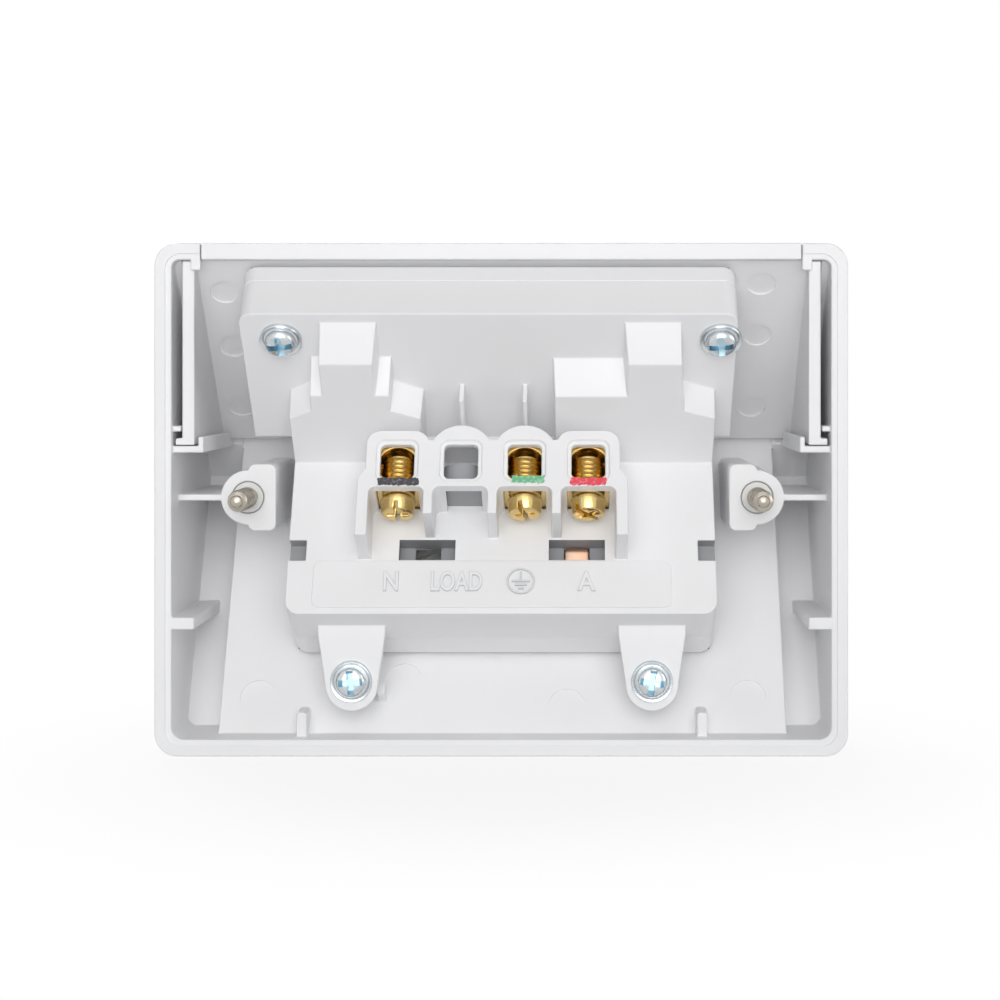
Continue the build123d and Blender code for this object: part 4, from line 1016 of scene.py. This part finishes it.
@dataclass
class Shell:
    """Housing and hood, the white outer mouldings."""

    edge_mm: float = 0.25
    corner_mm: float = 3.7
    peg_foot: Zone = Zone(right=(-20.85, -19.25), up=(5.4, 7.8), rise=(-0.1, 0.1))
    lip_inset_mm: float = 1.7
    lip_depth_mm: float = 0.4
    lip_radius_mm: float = 2.6
    lip_corner_steps: int = 10
    lip_overshoot_mm: float = 1.0

    def build(self) -> None:
        """Make both shells."""
        for node in ("housing", "hood"):
            blocks = (self.lip_block(),) if node == "housing" else ()
            name = f"{node}_moulding"
            piece = rounded_copy(node, name, self.edge_mm, crisp=(self.peg_foot,), blocks=blocks)
            self.trim_corners(piece)
            enlist(piece, ROOT_BODY, SHELL_WHITE, (node,))
            if node == "hood":
                recolour(piece, SHELL_ERODED, self.inner_side)

    def inner_side(self, face: Face) -> bool:
        """Tell whether a face belongs to the inner side walls, where the mould is rough.

        Args:
            face: Face of the hood.

        Returns:
            True on those walls.
        """
        return face.normal.x * face.center.x < 0 and abs(face.normal.x) > FACING

    def lip_block(self) -> Piece:
        """Make the block that sets the inner lip of the rear rim back, a plate with rounded corners.

        Returns:
            The block, astride the wall plane.
        """
        corners = 4 * self.lip_corner_steps
        radius = self.lip_radius_mm * MM
        circle = {"vertices": corners, "radius": radius, "fill_type": "NGON"}
        block = add("lip_block", bpy.ops.mesh.primitive_circle_add, **circle)
        block.data.transform(Matrix.Rotation(math.pi / corners, 4, "Z"))
        inset = (self.lip_inset_mm + self.lip_radius_mm) * MM
        for vertex in block.data.vertices:
            vertex.co.x += math.copysign(CAD_BOX[1][0] - inset, vertex.co.x)
            vertex.co.y += math.copysign(CAD_BOX[1][2] - inset, vertex.co.y)
        upright = Matrix.Rotation(math.radians(90), 4, "X")
        block.data.transform(Matrix.Translation((0, self.lip_overshoot_mm * MM, 0)) @ upright)
        thickness = (self.lip_overshoot_mm + self.lip_depth_mm) * MM
        apply_modifier(block, "SOLIDIFY", {"thickness": thickness, "offset": 1.0})
        face_outwards(block)
        return block

    def trim_corners(self, piece: Piece) -> None:
        """Bring points that stand out of the rounded outline, as seen from the wall, back onto it.

        Args:
            piece: Shell as a mesh.
        """
        radius = self.corner_mm * MM
        centre_x = CAD_BOX[1][0] - radius
        centre_z = CAD_BOX[1][2] - radius
        for vertex in piece.data.vertices:
            vertex.co.x = max(CAD_BOX[0][0], min(CAD_BOX[1][0], vertex.co.x))
            across = abs(vertex.co.x) - centre_x
            along = abs(vertex.co.z) - centre_z
            reach = math.hypot(across, along)
            if across > 0 and along > 0 and reach > radius:
                vertex.co.x = math.copysign(centre_x + across * radius / reach, vertex.co.x)
                vertex.co.z = math.copysign(centre_z + along * radius / reach, vertex.co.z)


@dataclass
class Mechanism:
    """Rear cover and socket body of the switch and socket mechanism."""

    edge_mm: float = 0.22
    label_foot: Zone = Zone(right=(-30.8, 27.8), up=(14.9, 23.4), rise=(16.9, 17.1))
    window_rims: Zone = Zone(right=(7.6, 16.9), up=(23.45, 27.2), rise=(13.5, 17.05), both_sides=True)
    windows: Zone = Zone(right=(7.6, 16.9), up=(23.45, 27.2), rise=(13.5, 16.75), both_sides=True)
    notches: Zone = Zone(right=(31.8, 35.1), up=(23.2, 27.35), rise=(13.5, 16.75), both_sides=True)
    membrane_half_mm: float = 4.2
    membrane_up_mm: Pair = (33.25, 33.45)
    membrane_rise_mm: Pair = (17.0, 24.6)
    sleeve_mm: tuple[float, float, float] = (3.3, 2.5, 3.7)
    sleeve_edge_mm: float = 0.15
    sleeve_foot_mm: float = 33.95
    sleeve_level_mm: float = 21.0
    sleeve_end_facing: float = 0.5
    tongue_right_mm: float = 12.25
    tongue_width_mm: float = 3.65
    tongue_foot_mm: float = 23.56
    tongue_straight_mm: float = 2.2
    tongue_bend_mm: float = 1.0
    tongue_bend_deg: float = 80.0
    tongue_level_mm: float = 14.9
    tongue_taper: float = 0.06
    tongue_thick_mm: float = 0.4
    tongue_edge_mm: float = 0.06

    def build(self) -> None:
        """Make both halves of the case and dress what lies in them."""
        free = terminal_rights()[1]
        across = (free - self.membrane_half_mm, free + self.membrane_half_mm)
        membrane = Zone(across, self.membrane_up_mm, self.membrane_rise_mm)
        deep = (self.windows, self.notches, membrane)
        crisp = (self.window_rims, self.label_foot)
        for node in ("rear_cover", "socket_body"):
            piece = rounded_copy(node, f"{node}_moulding", self.edge_mm, crisp=crisp)
            enlist(piece, ROOT_BODY, MECHANISM_WHITE, (node,))
            if node == "rear_cover":
                # Painted shade: faces of the white rear cover in the windows, the notches and the free
                # place's blind pocket take the grey finish
                recolour(piece, RECESS_SHADE_GREY, lambda face: any(zone.holds(face.center) for zone in deep))
        enlist(self.tongue(), ROOT_BODY, ROLLED_COPPER)
        enlist(self.sleeve(), ROOT_BODY, MECHANISM_WHITE)
        dress_nodes(("panel_gasket", "hood_gasket"), SEAL_RUBBER)
        dress_nodes(("neutral_bar", "earth_bar", "active_bar"), ROLLED_COPPER)
        for side in Side:
            dress_nodes((f"switched_contact_{side.word}", f"contact_arm_{side.word}"), ROLLED_COPPER)

    def sleeve(self) -> Piece:
        """Make the empty guide sleeve that shows through the tunnel of the free place.

        Returns:
            The sleeve in its place, with painted grey shade on its side walls and white ends.
        """
        outer, inner, length = self.sleeve_mm
        half, edge = length / 2, self.sleeve_edge_mm
        foot = [(inner, -half), (outer, -half)]
        top = [(outer, half - edge), (outer - edge, half), (inner, half)]
        piece = lathe("free_guide_sleeve", foot + top)
        # Painted shade: the sleeve's side walls are grey, its ends stay white
        piece.data.materials.append(RECESS_SHADE_GREY.make())
        recolour(piece, MECHANISM_WHITE, lambda face: abs(face.normal.z) > self.sleeve_end_facing)
        middle = panel_place(terminal_rights()[1], self.sleeve_foot_mm + half, self.sleeve_level_mm)
        place_mesh(piece, View.ALONG.at(middle))
        return piece

    def tongue(self) -> Piece:
        """Make the copper tongue of the active bar, which bends away at the top of the right window.

        Returns:
            The tongue in its place.
        """
        piece = add(
            "active_tongue_bent",
            bpy.ops.mesh.primitive_grid_add,
            x_subdivisions=6,
            y_subdivisions=20,
            size=1.0,
        )
        straight, bend = self.tongue_straight_mm, self.tongue_bend_mm
        arc = bend * math.radians(self.tongue_bend_deg)
        for vertex in piece.data.vertices:
            run = (vertex.co.y + 0.5) * (straight + arc)
            turn = max(0.0, run - straight) / bend
            up = self.tongue_foot_mm + min(run, straight) + bend * math.sin(turn)
            rise = self.tongue_level_mm - bend * (1 - math.cos(turn))
            width = self.tongue_width_mm * (1 - self.tongue_taper * turn)
            vertex.co = panel_place(self.tongue_right_mm + vertex.co.x * width, up, rise)
        apply_modifier(piece, "SOLIDIFY", {"thickness": self.tongue_thick_mm * MM, "offset": 0.0})
        apply_modifier(piece, "BEVEL", {"width": self.tongue_edge_mm * MM, "segments": 2})
        face_outwards(piece)
        smooth(piece, turn=35.0)
        return piece


@dataclass
class Terminals:
    """Brass tunnel terminals with their screws."""

    edge_mm: float = 0.18
    head_radius_mm: float = 2.85
    head_length_mm: float = 2.5
    thread: Thread = Thread(root_mm=2.35, crest_mm=2.72, pitch_mm=0.8)
    thread_gap_mm: float = 0.2
    slots: Recess = Recess(lengths_mm=(6.84, 3.5), width_mm=0.95, depth_mm=1.3, length_left=0.9)
    slot_edge_mm: float = 0.12
    turns_deg: tuple[float, float, float] = (88.0, 75.0, 45.0)

    def build(self) -> None:
        """Make the three blocks and their screws."""
        nodes = ("terminal_neutral", "terminal_earth", "terminal_active")
        for node in nodes:
            piece = rounded_copy(node, f"{node}_block", self.edge_mm)
            enlist(piece, ROOT_BODY, TURNED_BRASS, (node,))
        low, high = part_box("terminal_screws")
        centre = (Vector(low) + Vector(high)) / 2
        height = (Vector(high) - Vector(low)).z / MM
        length = (height - 2 * self.head_radius_mm * TILT_SINE) / TILT_COSINE
        screws = []
        for node, turn in zip(nodes, self.turns_deg):
            screw = self.screw(length)
            screw.data.transform(Matrix.Rotation(math.radians(turn), 4, "Z"))
            place_mesh(screw, View.ALONG.at(Vector((node_middle(node).x, centre.y, centre.z))))
            screws.append(screw)
        piece = join_pieces(screws, "terminal_screws_turned")
        enlist(piece, ROOT_BODY, TURNED_BRASS, ("terminal_screws",))

    def screw(self, length: float) -> Piece:
        """Make one screw with its head up, centred as its solid's box is.

        Args:
            length: Length from head to tip in millimetres.

        Returns:
            The screw.
        """
        head, root = self.head_radius_mm, self.thread.root_mm
        face, tip = length / 2, -length / 2
        neck = face - self.head_length_mm
        dome = [(0.0, face), (head - 0.65, face), (head - 0.35, face - 0.1), (head - 0.2, face - 0.35)]
        rim = [(head - 0.04, neck + 0.7), (head, neck + 0.5), (head, neck + 0.12), (head - 0.12, neck)]
        shank = [(root, neck), (root, tip + 0.4), (root - 0.4, tip), (0.0, tip)]
        piece = lathe("terminal_screw", dome + rim + shank)
        self.slots.cut(piece, Matrix.Translation((0, 0, face * MM)))
        rounding = {"limit_method": "ANGLE", "angle_limit": math.radians(ROUNDING_TURN), "segments": 2}
        apply_modifier(piece, "BEVEL", rounding | {"width": self.slot_edge_mm * MM})
        smooth(piece, turn=40.0)
        ridge = self.thread.make("terminal_thread", tip + self.thread_gap_mm, neck)
        return join_pieces([piece, ridge], "terminal_screw")


@dataclass
class Fasteners:
    """Screws, pins and retaining rings."""

    flange_radius_mm: float = 3.4
    flange_thickness_mm: float = 0.7
    head_radius_mm: float = 2.5
    head_thickness_mm: float = 1.5
    core_radius_mm: float = 1.4
    cross: Recess = Recess(lengths_mm=(4.625, 4.625), width_mm=1.15, depth_mm=1.35, length_left=0.6)
    dog_radius_mm: float = 1.0
    shank_radius_mm: float = 1.5
    wall_head_radius_mm: float = 3.3
    wall_head_length_mm: float = 2.4
    wall_thread: Thread = Thread(root_mm=1.58, crest_mm=1.75, pitch_mm=0.7)
    thread_ends_mm: Pair = (-12.4, -1.3)
    wall_slots: Recess = Recess(lengths_mm=(7.26, 3.6), width_mm=1.0, depth_mm=1.2, length_left=0.9)

    def build(self) -> None:
        """Make the fasteners."""
        self.washer_screws("upper_screws", View.SLOPE, turn=8.0, other_turn=6.0)
        self.washer_screws("lower_screws", View.WALL, turn=4.0, other_turn=-8.0)
        self.wall_screws()
        dress_nodes(("flap_pins",), ZINC_PLATE)
        dress_nodes(("screw_retainers",), NYLON)

    def washer_screws(self, node: str, view: View, turn: float, other_turn: float) -> None:
        """Make a pair of screws with washer heads in place of a node.

        Args:
            node: CAD node of the pair.
            view: Plane that the heads lie on.
            turn: Turn of the recess of one screw in degrees.
            other_turn: Turn of the recess of the other.
        """
        right, up, outwards = (Vector(direction) for direction in view.value)
        rise = self.flange_thickness_mm + self.head_thickness_mm
        screws = []
        for side, angle in ((Side.RIGHT, turn), (Side.LEFT, other_turn)):
            low, high = node_span(node, outwards, side)
            screw = self.washer_screw((high - low) / MM - rise)
            screw.data.transform(Matrix.Rotation(math.radians(angle), 4, "Z"))
            seat = outwards * (high - rise * MM)
            for across in (right, up):
                seat += across * sum(node_span(node, across, side)) / 2
            place_mesh(screw, view.at(seat))
            screws.append(screw)
        piece = join_pieces(screws, f"{node}_headed")
        enlist(piece, ROOT_BODY, ZINC_PLATE, (node,))

    def washer_screw(self, reach: float) -> Piece:
        """Make one screw with its seat at the origin and its head up.

        Args:
            reach: Length of the core under the seat in millimetres.

        Returns:
            The screw.
        """
        flange, thick = self.flange_radius_mm, self.flange_thickness_mm
        head, core = self.head_radius_mm, self.core_radius_mm
        top = thick + self.head_thickness_mm
        dome = [(0.0, top), (0.55 * head, top - 0.04), (0.8 * head, top - 0.22), (0.95 * head, top - 0.6)]
        side = [(head, top - 1.0), (head, thick - 0.12), (head + 0.25, thick - 0.22)]
        washer = [(flange - 0.3, thick - 0.05), (flange - 0.1, thick)]
        washer += [(flange, thick - 0.15), (flange, 0.0)]
        shank = [(core, 0.0), (core, -reach + 0.6), (core - 0.5, -reach), (0.0, -reach)]
        piece = lathe("washer_screw", dome + side + washer + shank)
        piece.data.materials.append(ZINC_PLATE.make())
        self.cross.cut(piece, Matrix.Translation((0, 0, top * MM)), ZINC_BLUE)
        return piece

    def wall_screws(self) -> None:
        """Make the pair of captive wall screws with dog points."""
        low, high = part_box("mounting_screws")
        screws = []
        for side in (Side.RIGHT, Side.LEFT):
            middle = node_middle("mounting_screws", side)
            screw = self.wall_screw((high[1] - low[1]) / MM)
            place_mesh(screw, View.WALL.at(Vector((middle.x, high[1], middle.z))))
            screws.append(screw)
        piece = join_pieces(screws, "mounting_screws_turned")
        enlist(piece, ROOT_BODY, NICKEL_PLATE, ("mounting_screws",))

    def wall_screw(self, length: float) -> Piece:
        """Make one wall screw with its tip at the origin.

        Args:
            length: Length from tip to head in millimetres.

        Returns:
            The screw, its head down.
        """
        dog, root, shank = self.dog_radius_mm, self.wall_thread.root_mm, self.shank_radius_mm
        head, foot = self.wall_head_radius_mm, -length + self.wall_head_length_mm
        first, last = self.thread_ends_mm
        point = [(0.0, 0.0), (0.45 * dog, -0.04), (0.85 * dog, -0.25), (dog, -0.6), (dog, -1.15)]
        body = [(1.25 * dog, -1.25), (root, -1.55), (root, first), (shank, first - 0.4), (shank, foot)]
        cap = [(head, foot), (head, -length + 0.5), (head - 0.4, -length), (0.0, -length)]
        piece = lathe("wall_screw", point + body + cap)
        head_face = Matrix.Translation((0, 0, -length * MM)) @ Matrix.Rotation(math.pi, 4, "X")
        self.wall_slots.cut(piece, head_face)
        ridge = self.wall_thread.make("wall_screw_thread", first, last)
        return join_pieces([piece, ridge], "wall_screw")


@dataclass(frozen=True)
class PenStroke:
    """Stroke that someone drew under a tunnel with a felt pen."""

    ink: str
    terminal: int
    shift_mm: float
    up_mm: float
    width_mm: float
    seed: int


STROKES = (
    PenStroke("black", 0, 0.3, 33.15, 6.5, 3),
    PenStroke("green", 2, 0.58, 33.55, 5.2, 11),
    PenStroke("red", 3, -0.05, 33.15, 5.7, 7),
)


@dataclass
class Markings:
    """Raised letters on the label plate and pen strokes under the tunnels."""

    letter_size_mm: float = 4.75
    letter_rise_mm: float = 0.36
    letter_bold_mm: float = 0.14
    letter_edge_mm: float = 0.12
    letter_steps: int = 4
    sunk_mm: float = 0.02
    letters: tuple[tuple[str, int, float, float], ...] = (
        ("N", 0, -0.9, 0.75),
        ("LOAD", 1, -0.66, 0.66),
        ("A", 3, -0.32, 0.82),
    )
    sign_terminal: int = 2
    sign_shift_mm: float = -0.58
    sign_radius_mm: float = 2.3
    sign_line_mm: float = 0.32
    sign_edge_mm: float = 0.1
    label_up_mm: float = 19.3
    sign_up_mm: float = 19.5
    label_level_mm: float = 17.4
    stroke_level_mm: float = 26.32
    stroke_height_mm: float = 1.3
    stroke_thick_mm: float = 0.05
    ragged_mm: float = 0.55
    ragged_reach_mm: tuple[tuple[str, float], ...] = (("Y", 0.75), ("X", 1.1))

    def build(self) -> None:
        """Make the letters, the earth sign and the strokes."""
        places = terminal_rights()
        pieces = []
        for word, terminal, shift, width in self.letters:
            pieces.append(self.letter(word, places[terminal] + shift, width))
        pieces.append(self.earth_sign(places[self.sign_terminal] + self.sign_shift_mm))
        piece = join_pieces(pieces, "terminal_letters")
        outwards = Vector(View.PANEL.value[2])
        piece.data.materials.append(MECHANISM_WHITE.make())
        # Painted shade: the letters' side faces and edge roundings, which do not face outwards, take the
        # grey finish
        recolour(piece, LETTER_SIDE_SHADE, lambda face: face.normal.dot(outwards) < FACING)
        enlist(piece, ROOT_BODY, MECHANISM_WHITE)
        for stroke in STROKES:
            piece = self.stroke(stroke, places[stroke.terminal])
            enlist(piece, ROOT_BODY, INKS[stroke.ink])

    def letter(self, word: str, right: float, width: float) -> Piece:
        """Make one raised word.

        Args:
            word: Letters.
            right: Middle of the word to the right in millimetres.
            width: Share of the letters' own width.

        Returns:
            The word as a mesh in its place.
        """
        piece = add("raised_word", bpy.ops.object.text_add)
        text = piece.data
        text.body = word
        text.size = self.letter_size_mm * MM
        text.align_x = "CENTER"
        text.align_y = "CENTER"
        text.extrude = (self.letter_rise_mm / 2 - self.letter_edge_mm) * MM
        text.bevel_depth = self.letter_edge_mm * MM
        text.offset = (self.letter_bold_mm - self.letter_edge_mm) * MM
        text.resolution_u = self.letter_steps
        pick(piece)
        bpy.ops.object.convert(target="MESH")
        piece = bpy.context.object
        piece.data.transform(Matrix.Diagonal((width, 1.0, 1.0, 1.0)))
        level = self.label_level_mm + self.letter_rise_mm / 2 - self.sunk_mm
        place_mesh(piece, View.PANEL.at(panel_place(right, self.label_up_mm, level)))
        return piece

    def earth_sign(self, right: float) -> Piece:
        """Make the raised earth sign, a ring round a stem and three bars.

        Args:
            right: Its middle to the right in millimetres.

        Returns:
            The sign as a mesh in its place.
        """
        outer, line, rise = self.sign_radius_mm, self.sign_line_mm, self.letter_rise_mm
        inner, edge, sunk = outer - line, self.sign_edge_mm, self.sunk_mm
        inside = [(inner, -sunk), (inner, rise - edge), (inner + edge, rise)]
        outside = [(outer - edge, rise), (outer, rise - edge), (outer, -sunk)]
        parts = [lathe("earth_ring", inside + outside)]
        strokes = ((line, 1.7, 0.85), (3.0, line, 0.0), (2.0, line, -0.65), (1.0, line, -1.3))
        for width, height, up in strokes:
            bar = add("earth_bar_line", bpy.ops.mesh.primitive_cube_add, size=1.0)
            bar.data.transform(Matrix.Diagonal((width * MM, height * MM, (rise + sunk) * MM, 1.0)))
            bar.data.transform(Matrix.Translation((0, up * MM, (rise - sunk) / 2 * MM)))
            apply_modifier(bar, "BEVEL", {"width": edge * MM, "segments": 1})
            parts.append(bar)
        sign = join_pieces(parts, "earth_sign")
        place_mesh(sign, View.PANEL.at(panel_place(right, self.sign_up_mm, self.label_level_mm)))
        return sign

    def stroke(self, stroke: PenStroke, right: float) -> Piece:
        """Make one pen stroke with ragged ends.

        Args:
            stroke: What was drawn.
            right: Middle of its terminal to the right in millimetres.

        Returns:
            The stroke as a thin mesh in its place.
        """
        piece = add(
            f"pen_stroke_{stroke.ink}",
            bpy.ops.mesh.primitive_grid_add,
            x_subdivisions=60,
            y_subdivisions=14,
            size=1.0,
        )
        width, height = stroke.width_mm * MM, self.stroke_height_mm * MM
        piece.data.transform(Matrix.Diagonal((width, height, 1.0, 1.0)))
        texture = bpy.data.textures.new(f"ragged_{stroke.ink}", "CLOUDS")
        texture.noise_scale = self.ragged_mm * MM
        shift = Vector((stroke.seed * MM, stroke.seed * MM, 0))
        piece.data.transform(Matrix.Translation(shift))
        for direction, reach in self.ragged_reach_mm:
            settings = {"texture": texture, "texture_coords": "LOCAL", "direction": direction}
            apply_modifier(piece, "DISPLACE", settings | {"strength": reach * MM, "mid_level": 0.5})
        piece.data.transform(Matrix.Translation(-shift))
        apply_modifier(piece, "SOLIDIFY", {"thickness": self.stroke_thick_mm * MM, "offset": 1.0})
        middle = panel_place(right + stroke.shift_mm, stroke.up_mm, self.stroke_level_mm)
        place_mesh(piece, View.PANEL.at(middle))
        return piece


@dataclass
class FrontPieces:
    """Rockers and flaps on the front."""

    edge_mm: float = 0.35
    edge_facets: int = 3

    def build(self) -> None:
        """Make the moving pieces of both sides."""
        for side in Side:
            for kind, slot, finish in (
                ("flap", "shell_white", SHELL_WHITE),
                ("rocker", "rocker_white", ROCKER_WHITE),
            ):
                node = f"{kind}_{side.word}"
                piece = rounded_copy(node, f"{node}_moulding", self.edge_mm, self.edge_facets)
                enlist(piece, node, finish, (node,))
            dress_nodes((f"flap_seal_{side.word}",), SEAL_RUBBER)
            dress_nodes((f"plunger_{side.word}",), ROCKER_WHITE)


@dataclass(frozen=True)
class Lamp:
    """Square soft lamp that faces the outlet, with its power in watts."""

    name: str
    place_mm: tuple[float, float, float]
    size_mm: float
    power: float

    def add(self) -> None:
        """Hang the lamp."""
        data = bpy.data.lights.new(self.name, "AREA")
        data.size = self.size_mm * MM
        data.energy = self.power
        lamp = bpy.data.objects.new(self.name, data)
        lamp.location = Vector(self.place_mm) * MM
        lamp.rotation_euler = (-lamp.location).to_track_quat("-Z", "Y").to_euler()
        bpy.context.scene.collection.objects.link(lamp)


LAMPS = (
    Lamp("Key_soft_box", (-12, 950, 160), 900, 6.4),
    Lamp("Camera_soft_box", (-12, 950, 60), 400, 1.5),
    Lamp("Top_lamp", (0, 440, 800), 800, 0.9),
    Lamp("Side_lamp", (-900, 150, 200), 600, 1.7),
    Lamp("Front_lamp", (350, -900, 500), 900, 9.5),
)


@dataclass
class Studio:
    """Camera at the photograph's angle, soft lamps, pale floor and white surroundings."""

    camera_place_mm: tuple[float, float, float] = (-11.95, 345.0, 20.2)
    lens_mm: float = 76.7
    sensor_mm: float = 36.0
    shift: Pair = (-0.075, -0.125)
    nearest_m: float = 0.01
    ambient: float = 0.1
    floor_size_m: float = 8.0

    def build(self) -> None:
        """Set up everything that is not part of the object."""
        self.add_camera()
        self.add_world()
        self.add_floor()
        for lamp in LAMPS:
            lamp.add()
        bpy.context.scene.view_settings.view_transform = "Standard"

    def add_camera(self) -> None:
        """Place the camera behind the outlet, level, looking at its wall side."""
        data = bpy.data.cameras.new("Camera")
        data.lens = self.lens_mm
        data.sensor_width = self.sensor_mm
        data.shift_x, data.shift_y = self.shift
        data.clip_start = self.nearest_m
        camera = bpy.data.objects.new("Camera", data)
        camera.location = Vector(self.camera_place_mm) * MM
        camera.rotation_euler = (math.radians(90), 0, math.radians(180))
        bpy.context.scene.collection.objects.link(camera)
        bpy.context.scene.camera = camera

    def add_world(self) -> None:
        """White surroundings for the camera and for reflections, a softer level for the light."""
        world = bpy.data.worlds.new("Studio_white")
        world.use_nodes = True
        shader = Shader(world.node_tree)
        light, white = (
            shader.node("Background", "Background", {"Color": linear("#FFFFFF"), "Strength": strength})
            for strength in (self.ambient, 1.0)
        )
        mixed = shader.node("MixShader", "Shader", None, {0: shader.seen_directly(), 1: light, 2: white})
        shader.close("World", mixed)
        bpy.context.scene.world = world

    def add_floor(self) -> None:
        """Pale floor under the lower edge, which keeps the shadow near the outlet and fades to white."""
        level = (0, 0, CAD_BOX[0][2])
        floor = add("Floor", bpy.ops.mesh.primitive_plane_add, size=self.floor_size_m, location=level)
        floor.data.materials.append(FLOOR_BOARD.make())


def main() -> None:
    """Build every sub-assembly in order, then the studio."""
    logging.basicConfig(level=logging.INFO, format="%(message)s")
    for assembly in (Shell, Mechanism, Terminals, Fasteners, Markings, FrontPieces, Studio):
        assembly().build()


if __name__ == "__main__":
    main()
